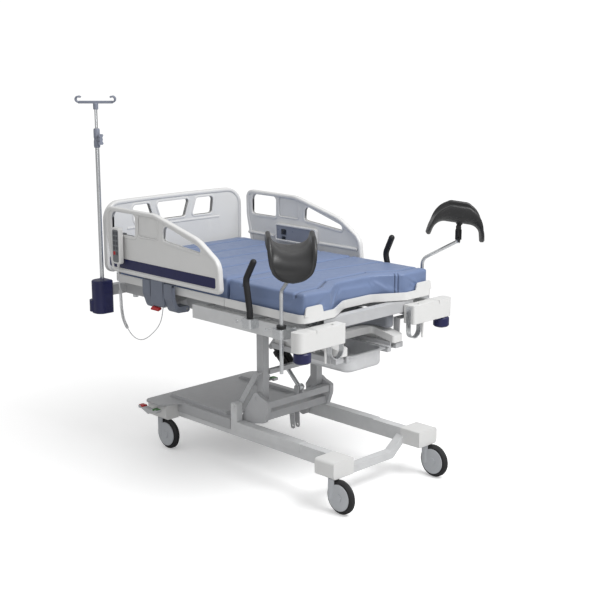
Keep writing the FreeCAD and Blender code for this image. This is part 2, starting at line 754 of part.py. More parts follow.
col_x0 = ELBOW.x - COLUMN_D / 2
col_x1 = ELBOW.x + COLUMN_D / 2
column = plate_xz(
    [(col_x0, ELBOW.z - 22.0), (col_x1, ELBOW.z - 22.0), (col_x1, FRAME_Z0), (col_x0, FRAME_Z0)],
    [21.9, 21.9, 0, 0],
    COLUMN_OUT - COLUMN_W,
    COLUMN_OUT,
)
elbow_pin = pin_y(ELBOW.x, COLUMN_OUT - 1, ARM_IN + ARM_T - 2.0, ELBOW.z, PIN_R)
high_pin = pin_y(LINK_HIGH.x, COLUMN_OUT - 1, LINK_IN + LINK_T + 2.0, LINK_HIGH.z, LINK_PIN_R)
column = fuse([column, elbow_pin, high_pin])
frame += both_sides(column)
outrigger = box(col_x0, col_x1, COLUMN_OUT, long_out, FRAME_Z0 - 40.0, FRAME_Z0)
frame += both_sides(outrigger)
tie_half = COLUMN_OUT - COLUMN_W
frame.append(tube(col_x0, col_x1, -tie_half, tie_half, 655.0, 690.0, 3.0, "y"))
frame.append(tube(-40.0, -18.0, -tie_half, tie_half, 460.0, 482.0, 2.5, "y"))

lug_y = EYE_T / 2 + LUG_PLAY
lug_run = V(ELBOW.x, 0, 672.0).sub(LIFT_PIVOT)
lug_run.normalize()
lug_width = V(-lug_run.z, 0, lug_run.x).multiply(EYE_R)
lug_tip = LIFT_PIVOT.sub(V(lug_run).multiply(EYE_R))
lug_root = LIFT_PIVOT.add(V(lug_run).multiply(170.0))
lift_lug = [
    (corner.x, corner.z) for corner in (
        lug_tip.add(lug_width), lug_tip.sub(lug_width), lug_root.sub(lug_width),
        lug_root.add(lug_width),
    )
]
for y in (lug_y, -lug_y - LUG_T):
    lug = plate_xz(lift_lug, [12.5, 12.5, 0, 0], y, y + LUG_T)
    lug = lug.cut(box(col_x0, col_x1, y - 1, y + LUG_T + 1, 655.0, 690.0))
    frame.append(max(lug.Solids, key=lambda solid: solid.Volume))
frame.append(
    pin_y(LIFT_PIVOT.x, -lug_y - LUG_T - 3.0, lug_y + LUG_T + 3.0, LIFT_PIVOT.z, ACT_PIN_R)
)

# Leg section guides with hangers, and basin channels with brackets
guide = box(LEG_X0, 458.0, GUIDE_IN, GUIDE_IN + GUIDE_W, GUIDE_Z0, GUIDE_Z0 + GUIDE_H)
frame += both_sides(guide)
for x in (110.0, 400.0):
    hanger_in = GUIDE_IN + GUIDE_W
    hanger = plate_xz(
        [(x, FRAME_Z0), (x + 4.0, GUIDE_Z0), (x + 32.0, GUIDE_Z0), (x + 36.0, FRAME_Z0)],
        [0, 8.0, 8.0, 0], hanger_in, hanger_in + 6.0,
    )
    flange = box(x, x + 36.0, hanger_in + 6.0, long_out, FRAME_Z0 - 6.0, FRAME_Z0)
    frame += both_sides(hanger) + both_sides(flange)
channel_in = BASIN_HALF - 10.0
channel_out = BASIN_HALF + 14.0
channel = box(BASIN_X0 + 6.0, 452.0, channel_in, channel_out, 602.0, 644.0)
slot_low = BASIN_RIM_Z - 3.0 - 0.3
channel = channel.cut(
    box(BASIN_X0, 460.0, channel_in - 1, BASIN_HALF + 0.5, slot_low, BASIN_RIM_Z + 0.3)
)
channel = channel.cut(
    box(BASIN_X0, 460.0, channel_in - 1, channel_out - 5.0, BASIN_RIM_Z + 6.0, 645.0)
)
frame += both_sides(channel)
for x in (140.0, 400.0):
    frame += both_sides(box(x, x + 40.0, channel_out, GUIDE_IN, GUIDE_Z0, GUIDE_Z0 + 6.0))

# Fixed hinge blocks for the side rail swing arms
block_x0 = SWING_X[0] + SWING_W + 1.5
block_x1 = SWING_X[1] - 1.5
hinge_section = [
    (long_out, 741.0), (SWING_LOW.y - 4.0, SWING_LOW.z - 16.0), (SWING_LOW.y + 16.0, SWING_LOW.z - 16.0),
    (SWING_LOW.y + 16.0, SWING_LOW.z + 16.0), (long_out, 788.0),
]
hinge_block = plate_yz(hinge_section, [0, 4.0, 14.0, 12.0, 0], block_x0, block_x1)
hinge_pin = pin_x(SWING_X[0] + 4.0, SWING_X[1] + SWING_W - 4.0, SWING_LOW.y, SWING_LOW.z, SWING_PIN_R)
frame += both_sides(fuse([hinge_block, hinge_pin]))

# Spacers carry the seat tray on the longitudinals
for x in (70.0, 340.0):
    frame += both_sides(box(x, x + 40.0, LONG_IN, long_out, frame_top, TRAY_Z0))
export("upper_frame", frame)

# Side beams with short cross links
side_top = SIDE_Z0 + SIDE_H
side_in = SIDE_OUT - SIDE_W
beam = tube(SIDE_HEAD_X, FOOT_ARM_X, side_in, SIDE_OUT, SIDE_Z0, side_top, 3.0, "x")
beams = both_sides(beam)
for x in (SIDE_HEAD_X, 120.0, 400.0):
    beams += both_sides(box(x + 8.0, x + 40.0, long_out, side_in, 744.0, 786.0))
export("side_beams", beams)

# Foot arms with sockets, pegs and roller spindles
foot_plan = rectangle(FOOT_ARM_X, FOOT_ARM_X + FOOT_ARM_D, FOOT_ARM_IN, FOOT_ARM_OUT)
arm_top = FOOT_ARM_Z0 + FOOT_ARM_H
foot_arm = plate_xy(foot_plan, [0, 10.0, FOOT_ARM_ROUND, 18.0], FOOT_ARM_Z0, arm_top)
foot_mid = FOOT_ARM_X + FOOT_ARM_D / 2
foot_arm = foot_arm.cut(
    pin_z(foot_mid, SOCKET_Y, FOOT_ARM_Z0 - 1, arm_top + 1, SOCKET_R + RUN_FIT)
)
split = box(FOOT_ARM_X - 1, FOOT_ARM_X + FOOT_ARM_D + 1, 398.0, 401.0, arm_top - 14.0, arm_top + 1)
foot_arm = foot_arm.cut(split)
peg = pin_z(foot_mid, 318.0, 644.0, FOOT_ARM_Z0, 5.0)
roller_z1 = FOOT_ARM_Z0 - 3.0
roller_z0 = roller_z1 - ROLLER_H
spindle = pin_z(foot_mid, ROLLER_Y, roller_z0 - 4.0, FOOT_ARM_Z0, 8.0)
washer = pin_z(foot_mid, ROLLER_Y, roller_z0 - 6.0, roller_z0 - 1.0, 13.0)
export("foot_arms", both_sides(foot_arm) + both_sides(peg) + both_sides(fuse([spindle, washer])))

hook_out = [(218.0, arm_top - 6.0), (218.0, 651.0), (294.0, 651.0), (294.0, arm_top - 6.0)]
hook_in = [(222.0, arm_top + 1), (222.0, 655.0), (290.0, 655.0), (290.0, arm_top + 1)]
hook = plate_yz(hook_out, [0, 37.9, 37.9, 0], foot_mid - 12.5, foot_mid + 12.5)
hook = hook.cut(plate_yz(hook_in, [0, 33.9, 33.9, 0], foot_mid - 13.5, foot_mid + 13.5))
hook = hook.cut(box(foot_mid - 14.0, foot_mid + 14.0, 280.0, 300.0, FOOT_ARM_Z0, arm_top + 2))
export("foot_hooks", both_sides(hook))

roller_profile = [
    (8.0 + RUN_FIT, 0.0), (ROLLER_R - 6.0, 0.0), (ROLLER_R, 6.0), (ROLLER_R, ROLLER_H - 6.0),
    (ROLLER_R - 6.0, ROLLER_H), (8.0 + RUN_FIT, ROLLER_H),
]
roller_points = [V(foot_mid + r, ROLLER_Y, roller_z0 + z) for r, z in roller_profile]
roller = Part.Face(Part.makePolygon(roller_points + roller_points[:1]))
roller = roller.revolve(V(foot_mid, ROLLER_Y, 0), V(0, 0, 1), 360)
export("foot_roller_far", roller)
export("foot_roller_near", mirrored(roller))

# Seat tray and cushion share the foot cut-out


def surface_outline(x0, half, end, depth, flat, wide, corner):
    """Plan of the seat: straight head end, cut-out in the middle of the foot end."""
    pairs = [
        (x0, -half), (end, -half), (end, -wide), (end - depth, -flat),
        (end - depth, flat), (end, wide), (end, half), (x0, half),
    ]
    return pairs, [0, corner, 46.0, 60.0, 60.0, 46.0, corner, 0]


tray_plan, tray_radii = surface_outline(
    SPLIT_X + SPLIT_GAP / 2, TRAY_HALF, CUSHION_END + TRAY_REACH, CUTOUT_DEPTH,
    CUTOUT_FLAT - 8.0, CUTOUT_HALF - 8.0, TRAY_ROUND,
)
tray = plate_xy(tray_plan, tray_radii, TRAY_Z0, TRAY_LIP_Z)
well_plan, well_radii = surface_outline(
    SPLIT_X - 40.0, TRAY_HALF - TRAY_T, CUSHION_END + TRAY_REACH - TRAY_T, CUTOUT_DEPTH,
    CUTOUT_FLAT - 5.0, CUTOUT_HALF - 5.0, TRAY_ROUND - TRAY_T,
)
tray = tray.cut(plate_xy(well_plan, well_radii, TRAY_Z0 + TRAY_T, TRAY_LIP_Z + 1))
tab = plate_yz(
    [(TAB_IN - 12.0, TRAY_LIP_Z - 8.0), (TAB_OUT + 8.0, TRAY_LIP_Z - 8.0),
     (TAB_OUT, TRAY_LIP_Z + TAB_H), (TAB_IN, TRAY_LIP_Z + TAB_H)],
    [0, 0, 12.0, 12.0],
    CUSHION_END + TRAY_REACH - TRAY_T,
    CUSHION_END + TRAY_REACH,
)
seat_tray = fuse([tray, tab, mirrored(tab)])
export("seat_tray", seat_tray)

seat_plan, seat_radii = surface_outline(
    SPLIT_X + SPLIT_GAP / 2, CUSHION_HALF, CUSHION_END, CUTOUT_DEPTH,
    CUTOUT_FLAT, CUTOUT_HALF, 30.0,
)
cushion_z0 = TRAY_Z0 + TRAY_T + SOFT_GAP
seat_cushion = plate_xy(seat_plan, seat_radii, cushion_z0, CUSHION_TOP)
export("seat_cushion", seat_cushion)

# Backrest: carriage, frame, tray and cushion
carriage = []
cheek_section = [
    (HINGE_X - 24.0, frame_top - 35.0), (HINGE_X + 54.0, frame_top - 35.0),
    (HINGE_X + 54.0, frame_top - 5.0), (HINGE_X + 24.0, frame_top + 9.0),
    (HINGE_X + 11.0, HINGE_Z - 10.0), (HINGE_X + 11.0, HINGE_Z + 11.0), (HINGE_X - 11.0, HINGE_Z + 11.0),
    (HINGE_X - 24.0, frame_top + 9.0),
]
cheek = plate_xz(cheek_section, [4.0, 0, 4.0, 4.0, 2.0, 10.5, 10.5, 4.0], LONG_IN - 8.0, LONG_IN - 1.0)
shoe = box(
    HINGE_X - 24.0, HINGE_X + 24.0, LONG_IN - 4.0, long_out - 3.0, frame_top + GAP, frame_top + 9.0
)
hinge_pin = pin_y(HINGE_X, BACK_BAR_IN + 3.0, LONG_IN - 4.0, HINGE_Z, HINGE_PIN_R)
carriage += both_sides(fuse([cheek, shoe, hinge_pin]))
bar_x0 = HINGE_X + 32.0
carriage.append(
    tube(bar_x0, HINGE_X + 54.0, -LONG_IN + 8.0, LONG_IN - 8.0,
         frame_top - 35.0, frame_top - 5.0, 2.5, "y")
)
back_lug = [
    (BACK_PIVOT.x - 11.0, BACK_PIVOT.z - 11.0), (BACK_PIVOT.x + 11.0, BACK_PIVOT.z - 11.0),
    (HINGE_X + 54.0, frame_top - 45.0), (HINGE_X + 54.0, frame_top - 35.0),
    (HINGE_X + 40.0, frame_top - 35.0), (HINGE_X + 32.0, frame_top - 52.0),
    (BACK_PIVOT.x - 11.0, BACK_PIVOT.z + 11.0),
]
for y in (lug_y, -lug_y - LUG_T):
    carriage.append(plate_xz(back_lug, [10.0, 10.0, 0, 0, 0, 8.0, 8.0], y, y + LUG_T))
carriage.append(
    pin_y(BACK_PIVOT.x, -lug_y - LUG_T - 3.0, lug_y + LUG_T + 3.0, BACK_PIVOT.z, ACT_PIN_R)
)
export("back_carriage", carriage)

bar_out = BACK_BAR_IN + BACK_BAR_W
back_bar = plate_xz(
    [(-780.0, BACK_BAR_Z0), (HINGE_X + 11.0, BACK_BAR_Z0),
     (HINGE_X + 11.0, TRAY_Z0), (-780.0, TRAY_Z0)],
    [0, 10.9, 0, 0],
    BACK_BAR_IN,
    bar_out,
)
back_bar = back_bar.cut(
    pin_y(HINGE_X, BACK_BAR_IN - 1, bar_out + 1, HINGE_Z, HINGE_PIN_R + RUN_FIT)
)
back_frame = both_sides(back_bar)
eye_tube_z0 = BACK_EYE.z + EYE_R + 6.0
for x, low_z in ((BACK_EYE.x - 20.0, eye_tube_z0), (-560.0, BACK_BAR_Z0), (-780.0, BACK_BAR_Z0)):
    back_frame.append(
        tube(x, x + 40.0, -BACK_BAR_IN, BACK_BAR_IN, low_z, TRAY_Z0, 2.5, "y")
    )
eye_plate = rectangle(BACK_EYE.x - 16.0, BACK_EYE.x + 16.0, BACK_EYE.z - 14.0, eye_tube_z0)
for y in (lug_y, -lug_y - LUG_T):
    back_frame.append(plate_xz(eye_plate, [14.0, 14.0, 0, 0], y, y + LUG_T))
    stub_y = y + LUG_T if y > 0 else y - 4.0
    back_frame.append(pin_y(BACK_EYE.x, stub_y, stub_y + 4.0, BACK_EYE.z, 9.0))
export("backrest_frame", back_frame)

back_x1 = SPLIT_X - SPLIT_GAP / 2
tray_box = rectangle(BACK_HEAD_X, back_x1, -TRAY_HALF, TRAY_HALF)
back_tray = plate_xy(tray_box, [50.0, 0, 0, 50.0], TRAY_Z0, TRAY_LIP_Z)
well_box = rectangle(BACK_HEAD_X + TRAY_T, back_x1 + 40.0, -TRAY_HALF + TRAY_T, TRAY_HALF - TRAY_T)
back_tray = back_tray.cut(
    plate_xy(well_box, [44.0, 0, 0, 44.0], TRAY_Z0 + TRAY_T, TRAY_LIP_Z + 1)
)
export("back_tray", back_tray)
pad_box = rectangle(BACK_HEAD_X + 12.0, back_x1, -CUSHION_HALF, CUSHION_HALF)
export("back_cushion", plate_xy(pad_box, [48.0, 0, 0, 48.0], cushion_z0, CUSHION_TOP))

# Headboard: gently curved in plan, three openings, two posts
def head_face(reach):
    """Plan curve of one face of the board; the ends come forward."""
    return Part.Arc(
        V(HEAD_X - reach + HEAD_CURVE, -HEAD_HALF - 5.0, HEAD_Z0),
        V(HEAD_X - reach, 0, HEAD_Z0),
        V(HEAD_X - reach + HEAD_CURVE, HEAD_HALF + 5.0, HEAD_Z0),
    ).toShape()


front_arc = head_face(0.0)
back_arc = head_face(HEAD_T)
plan_ends = []
for index in (0, 1):
    plan_ends.append(
        Part.LineSegment(front_arc.Vertexes[index].Point, back_arc.Vertexes[index].Point).toShape()
    )
plan = Part.Wire(Part.__sortEdges__([front_arc, plan_ends[0], back_arc, plan_ends[1]]))
board = Part.Face(plan).extrude(V(0, 0, HEAD_TOP - HEAD_Z0))
front_shape = plate_yz(
    rectangle(-HEAD_HALF, HEAD_HALF, HEAD_Z0, HEAD_TOP), [44.0, 44.0, 90.0, 90.0],
    HEAD_X - HEAD_T - 20.0, HEAD_X + HEAD_CURVE + 20.0,
)
board = board.common(front_shape)
hole_low = 1080.0
hole_high = 1168.0
middle_hole = [(-76.0, hole_low), (76.0, hole_low), (106.0, hole_high), (-106.0, hole_high)]
side_hole = [(124.0, hole_low), (252.0, hole_low), (262.0, hole_high), (154.0, hole_high)]
cuts = [plate_yz(middle_hole, 14.0, HEAD_X - 80.0, HEAD_X + 80.0)]
cuts += both_sides(plate_yz(side_hole, [14.0, 34.0, 34.0, 14.0], HEAD_X - 80.0, HEAD_X + 80.0))
for cut in cuts:
    board = board.cut(cut)
for side in (-1, 1):
    board = board.fuse(
        pin_z(HEAD_POST_X, side * HEAD_POST_Y, FRAME_Z0 - 36.0, HEAD_Z0 + 20.0, HEAD_POST_R)
    )
export("headboard", board.removeSplitter())

# Corner bumpers with a socket for the infusion pole on each side
bumper_plan = rectangle(BUMPER_X0, BUMPER_X1, BUMPER_Y0, BUMPER_Y1)
bumper = plate_xy(bumper_plan, [14.0, 14.0, 34.0, 38.0], BUMPER_Z0, BUMPER_Z1)
top_edges = [
    edge for edge in bumper.Edges
    if edge.BoundBox.ZLength < 0.01 and abs(edge.BoundBox.ZMax - BUMPER_Z1) < 0.01
]
bumper = bumper.makeFillet(8.0, top_edges)
lobe = pin_z(BUMPER_X0 + 20.0, BUMPER_Y1 - 30.0, BUMPER_Z0 + 6.0, BUMPER_Z0 + 62.0, 34.0)
bumper = fuse([bumper, lobe])
socket_z = BUMPER_Z1 - POLE_SEAT
bumper = bumper.cut(pin_z(POLE_X, POLE_Y, socket_z, BUMPER_Z1 + 1, POLE_R + RUN_FIT))
export("corner_bumpers", both_sides(bumper))

pole = pin_z(POLE_X, -POLE_Y, socket_z, POLE_TOP, POLE_R)
pole = pole.cut(pin_z(POLE_X, -POLE_Y, MAST_Z0 - 40.0, POLE_TOP + 1, MAST_R + RUN_FIT))
collar = pin_z(POLE_X, -POLE_Y, POLE_TOP - COLLAR_H, POLE_TOP + 12.0, COLLAR_R)
collar = collar.cut(pin_z(POLE_X, -POLE_Y, POLE_TOP - COLLAR_H - 1, POLE_TOP + 1, POLE_R))
collar = collar.cut(pin_z(POLE_X, -POLE_Y, POLE_TOP - 1, POLE_TOP + 13, MAST_R + RUN_FIT))
knob_z = POLE_TOP - COLLAR_H / 2
pole = fuse([pole, collar])
knob_bore = pin_x(POLE_X + COLLAR_R - 4.0, POLE_X + COLLAR_R + 2.0, -POLE_Y, knob_z, 4.0 + RUN_FIT)
pole = pole.cut(knob_bore)
export("iv_lower_tube", pole)

knob = pin_x(POLE_X + COLLAR_R - 3.6, POLE_X + COLLAR_R + 12.0, -POLE_Y, knob_z, 4.0)
wing = plate_yz(
    [(-POLE_Y - 6.0, knob_z - 6.0), (-POLE_Y - 17.0, knob_z - 25.0),
     (-POLE_Y + 17.0, knob_z - 25.0), (-POLE_Y + 6.0, knob_z - 6.0),
     (-POLE_Y + 6.0, knob_z + 6.0), (-POLE_Y + 17.0, knob_z + 25.0),
     (-POLE_Y - 17.0, knob_z + 25.0), (-POLE_Y - 6.0, knob_z + 6.0)],
    [0, 6.0, 6.0, 0, 0, 6.0, 6.0, 0],
    POLE_X + COLLAR_R + 10.0,
    POLE_X + COLLAR_R + 20.0,
)
wing_hub = pin_x(POLE_X + COLLAR_R + 2.0, POLE_X + COLLAR_R + 20.0, -POLE_Y, knob_z, 10.0)
export("iv_knob", fuse([knob, wing, wing_hub]))

mast = pin_z(POLE_X, -POLE_Y, MAST_Z0, MAST_TOP + 10.0, MAST_R)
turn = math.radians(45.0)


def tee_point(along, z):
    return V(POLE_X + along * math.cos(turn), -POLE_Y + along * math.sin(turn), z)


hook_path = [
    tee_point(-62.0, MAST_TOP + 40.0), tee_point(-80.0, MAST_TOP + 47.0),
    tee_point(-TEE_HALF, MAST_TOP + 26.0), tee_point(-76.0, MAST_TOP + 6.0),
    tee_point(76.0, MAST_TOP + 6.0), tee_point(TEE_HALF, MAST_TOP + 26.0),
    tee_point(80.0, MAST_TOP + 47.0), tee_point(62.0, MAST_TOP + 40.0),
]
tee = bent_rod(hook_path, [9.0, 12.0, 11.0, 11.0, 12.0, 9.0], 4.0)
export("iv_upper_tube", fuse([mast, tee]))

# Side rails
SAFE_OUTLINE = [
    (-834.0, 1193.0), (-463.0, 1190.0), (-150.0, 1110.0), (-12.0, 1022.0),
    (-2.0, 882.0), (-790.0, 882.0), (-831.0, 1060.0),
]
SAFE_RADII = [42.0, 240.0, 260.0, 80.0, 22.0, 24.0, 160.0]
SAFE_WINDOW = [(-788.0, 1068.0), (-605.0, 1068.0), (-605.0, 1172.0), (-788.0, 1172.0)]
SAFE_RECESS = [(-583.0, 1075.0), (-439.0, 1075.0), (-439.0, 1170.0), (-583.0, 1172.0)]
SAFE_HOLE = [(-398.0, 1074.0), (-98.0, 1045.0), (-150.0, 1078.0), (-392.0, 1148.0)]

safe_in = SAFE_OUT - SAFE_T
outline_points = [V(x, safe_in, z) for x, z in SAFE_OUTLINE]
outline_wire = rounded_wire(outline_points, SAFE_RADII)
shell = Part.Face(outline_wire).extrude(V(0, SAFE_T, 0))
inner_wire = outline_wire.makeOffset2D(-SAFE_RIM)
inner_face = Part.Face(inner_wire)
inner_face.translate(V(0, SAFE_T - SAFE_SINK, 0))
shell = shell.cut(inner_face.extrude(V(0, SAFE_SINK + 1, 0)))
shell = shell.cut(plate_xz(SAFE_WINDOW, [16.0, 16.0, 20.0, 30.0], safe_in - 1, SAFE_OUT + 1))
shell = shell.cut(plate_xz(SAFE_HOLE, [14.0, 12.0, 60.0, 24.0], safe_in - 1, SAFE_OUT + 1))
recess_y = SAFE_OUT - SAFE_SINK - 6.0
shell = shell.cut(plate_xz(SAFE_RECESS, 14.0, recess_y, SAFE_OUT + 1))
safe_low = SAFE_OUTLINE[4][1]
for x in SWING_X:
    notch = box(x - 3.0, x + SWING_W + 3.0, safe_in - 1, SAFE_OUT - 9.0, safe_low - 1, safe_low + 14.0)
    shell = shell.cut(notch)
latch_x0 = SWING_X[0] + SWING_W + 3.0
latch_x1 = SWING_X[1] - 3.0
latch = box(latch_x0, latch_x1, SAFE_OUT - 26.0, SAFE_OUT - 2.0, 760.0, safe_low)
swing_pin = pin_x(
    SWING_X[0] + 4.0, SWING_X[1] + SWING_W - 4.0, SWING_TOP.y, SWING_TOP.z, SWING_PIN_R
)
shell = fuse([shell, latch, swing_pin])
handle_x0 = latch_x0 + 8.0
handle_x1 = latch_x0 + 62.0
handle_y = SAFE_OUT - 14.0
handle_z = 751.0
for x in (handle_x0 - 5.0, handle_x1 + 1.0):
    shell = shell.fuse(
        plate_xz(rectangle(x, x + 4.0, handle_z - 7.0, 760.0), 0, handle_y - 8.0, handle_y + 8.0)
    )
shell = shell.fuse(pin_x(handle_x0 - 3.0, handle_x1 + 3.0, handle_y, handle_z, 2.5))
shell = shell.removeSplitter()
stripe_y = SAFE_OUT - SAFE_SINK
stripe = plate_xz(
    rectangle(STRIPE_X0, STRIPE_X1, STRIPE_Z0, STRIPE_Z1), [8.0, 8.0, 8.0, 8.0],
    stripe_y, stripe_y + 3.0,
)
export("side_rail_far", [shell, stripe])
export("side_rail_near", [mirrored(shell), mirrored(stripe)])

handle = plate_yz(
    [(handle_y - 5.0, handle_z - 5.0), (handle_y + 17.0, handle_z - 13.0),
     (handle_y + 17.0, handle_z - 5.0), (handle_y + 5.0, handle_z + 5.0),
     (handle_y - 5.0, handle_z + 5.0)],
    [3.0, 3.0, 3.0, 3.0, 3.0],
    handle_x0,
    handle_x1,
)
handle = handle.cut(pin_x(handle_x0 - 1, handle_x1 + 1, handle_y, handle_z, 2.5 + RUN_FIT))
export("release_handle_far", handle)
export("release_handle_near", mirrored(handle))

band_outline = [
    (SWING_LOW.y - 14.0, SWING_LOW.z - 15.0), (SWING_LOW.y + 66.0, SWING_LOW.z - 12.0),
    (SWING_TOP.y + 9.9, SWING_TOP.z - 60.0), (SWING_TOP.y + 9.9, SWING_TOP.z + 9.9),
    (SWING_TOP.y - 9.9, SWING_TOP.z + 9.9), (SWING_TOP.y - 12.0, SWING_TOP.z - 60.0),
    (SWING_LOW.y + 54.0, SWING_LOW.z + 15.0), (SWING_LOW.y - 14.0, SWING_LOW.z + 15.0),
]
bands = []
for x in SWING_X:
    band = plate_yz(band_outline, [13.0, 26.0, 40.0, 9.8, 9.8, 30.0, 16.0, 13.0], x, x + SWING_W)
    for centre in (SWING_LOW, SWING_TOP):
        band = band.cut(
            pin_x(x - 1, x + SWING_W + 1, centre.y, centre.z, SWING_PIN_R + RUN_FIT)
        )
    bands.append(band)
export("swing_arms_far", bands)
export("swing_arms_near", [mirrored(band) for band in bands])

panel = plate_xz(rectangle(-598.0, -299.0, 953.0, 1033.0), 16.0, safe_in - 8.0, safe_in)
screen = plate_xz(rectangle(-586.0, -311.0, 963.0, 1023.0), 9.0, safe_in - 9.0, safe_in - 6.0)
export("control_panel", panel.cut(screen))

# Handset hung over the window sill of the near rail
handset_y = -(SAFE_OUT + 6.0)
handset_plan = rectangle(
    HANDSET_X - HANDSET_W / 2, HANDSET_X + HANDSET_W / 2, handset_y - HANDSET_T, handset_y
)
handset = plate_xy(handset_plan, [9.0, 9.0, 5.0, 5.0], HANDSET_Z0, HANDSET_Z0 + HANDSET_H)
sill = SAFE_WINDOW[0][1]
hook_section = [
    (handset_y + 0.5, sill - 30.0), (-SAFE_OUT, sill - 30.0), (-SAFE_OUT, sill),
    (-safe_in, sill), (-safe_in, sill - 22.0), (-safe_in + 4.0, sill - 22.0),
    (-safe_in + 4.0, sill + 5.0), (handset_y + 0.5, sill + 5.0),
]
hook = plate_yz(hook_section, [0, 0, 0, 0, 0, 0, 3.0, 0], HANDSET_X - 11.0, HANDSET_X + 11.0)
stem = pin_z(HANDSET_X, handset_y - 13.0, HANDSET_Z0 - 16.0, HANDSET_Z0 + 1.0, 6.0)
handset = fuse([handset, hook, stem])
export("handset", handset)

# Handset cord: lead, curly part, and the cable back to the rail
LEAD = [
    V(-712.0, -487.0, 914.0), V(-710.0, -487.6, 862.0), V(-706.0, -487.0, 812.0),
]
COIL = [
    V(-706.0, -487.0, 812.0), V(-702.5, -486.6, 762.0), V(-700.5, -486.4, 710.0),
    V(-687.0, -486.0, 658.0), V(-652.0, -485.6, 618.0),
]
CABLE = [
    V(-652.0, -485.6, 618.0), V(-623.0, -484.6, 594.0), V(-586.0, -482.6, 582.0),
    V(-549.0, -479.0, 585.0), V(-515.0, -474.0, 603.0), V(-484.0, -467.0, 629.0),
    V(-452.0, -460.0, 662.0), V(-428.0, -455.6, 708.0), V(-421.0, -454.0, 759.0),
]


def cord_radii(points, least):
    """Bend radius at each corner, from the shorter run and the turn."""
    radii = []
    for i in range(1, len(points) - 1):
        before = points[i].sub(points[i - 1])
        after = points[i + 1].sub(points[i])
        turn_angle = before.getAngle(after)
        shorter = min(before.Length, after.Length)
        radius = 0.45 * shorter / math.tan(turn_angle / 2.0)
        radii.append(radius)
        if radius < least:
            print("cord bend below its least radius", i, round(radius, 1))
    return radii


def cord(points, radius, least):
    radii = cord_radii(points, least)
    path = bent_path(points, radii)
    solid = bent_rod(points, radii, radius)
    ratio = solid.Volume / (math.pi * radius ** 2 * path.Length)
    print("cord length", round(path.Length, 1), "least bend", round(min(radii), 1), "volume", round(ratio, 4))
    return solid


lead = cord(LEAD, CORD_R, 3 * 2 * CORD_R)
cable = cord(CABLE, CORD_R, 5 * 2 * CORD_R)
export("cord_tube", [lead, cable])
export("cord_coil", cord(COIL, COIL_R, 3 * 2 * COIL_R))

# Hand grips in clamps on the side beams, and clamps for the leg rods
clamps = []
grip_x0 = GRIP_X - 28.0
grip_clamp = plate_xy(
    rectangle(grip_x0, GRIP_X + 28.0, SIDE_OUT, GRIP_Y + 26.0), [0, 0, 14.0, 14.0],
    CLAMP_Z0, CLAMP_Z0 + CLAMP_H,
)
grip_clamp = grip_clamp.cut(
    pin_z(GRIP_X, GRIP_Y, CLAMP_Z0 + 4.0, CLAMP_Z0 + CLAMP_H + 1, 9.0 + RUN_FIT)
)
clamps += both_sides(grip_clamp)
for side, x in ((-1, ROD_NEAR_X), (1, ROD_FAR_X)):
    low_y, high_y = sorted((side * SIDE_OUT, side * (ROD_Y + 32.0)))
    round_in, round_out = (16.0, 0) if side < 0 else (0, 16.0)
    block = plate_xy(
        rectangle(x - 30.0, x + 30.0, low_y, high_y), [round_in, round_in, round_out, round_out],
        CLAMP_Z0, CLAMP_Z0 + CLAMP_H,
    )
    block = block.cut(
        pin_z(x, side * ROD_Y, CLAMP_Z0 - 1, CLAMP_Z0 + CLAMP_H + 1, BUSH_R + RUN_FIT)
    )
    clamps.append(block)
export("rail_clamps", clamps)

grip_foot = pin_z(GRIP_X, GRIP_Y, CLAMP_Z0 + 4.0, GRIP_Z0 + 8.0, 9.0)
grip_points = [
    V(GRIP_X, GRIP_Y, GRIP_Z0), V(GRIP_X, GRIP_Y, GRIP_Z0 + 30.0),
    V(GRIP_X - GRIP_LEAN, GRIP_Y - 4.0, GRIP_BEND_Z),
    V(GRIP_X + 14.0, GRIP_Y - 10.0, 1052.0),
]
grip = bent_rod(grip_points, [60.0, 50.0], GRIP_R)
grip_cap = Part.makeSphere(GRIP_R, grip_points[-1])
grip = fuse([grip_foot, grip, grip_cap])
export("grip_far", grip)
export("grip_near", mirrored(grip))


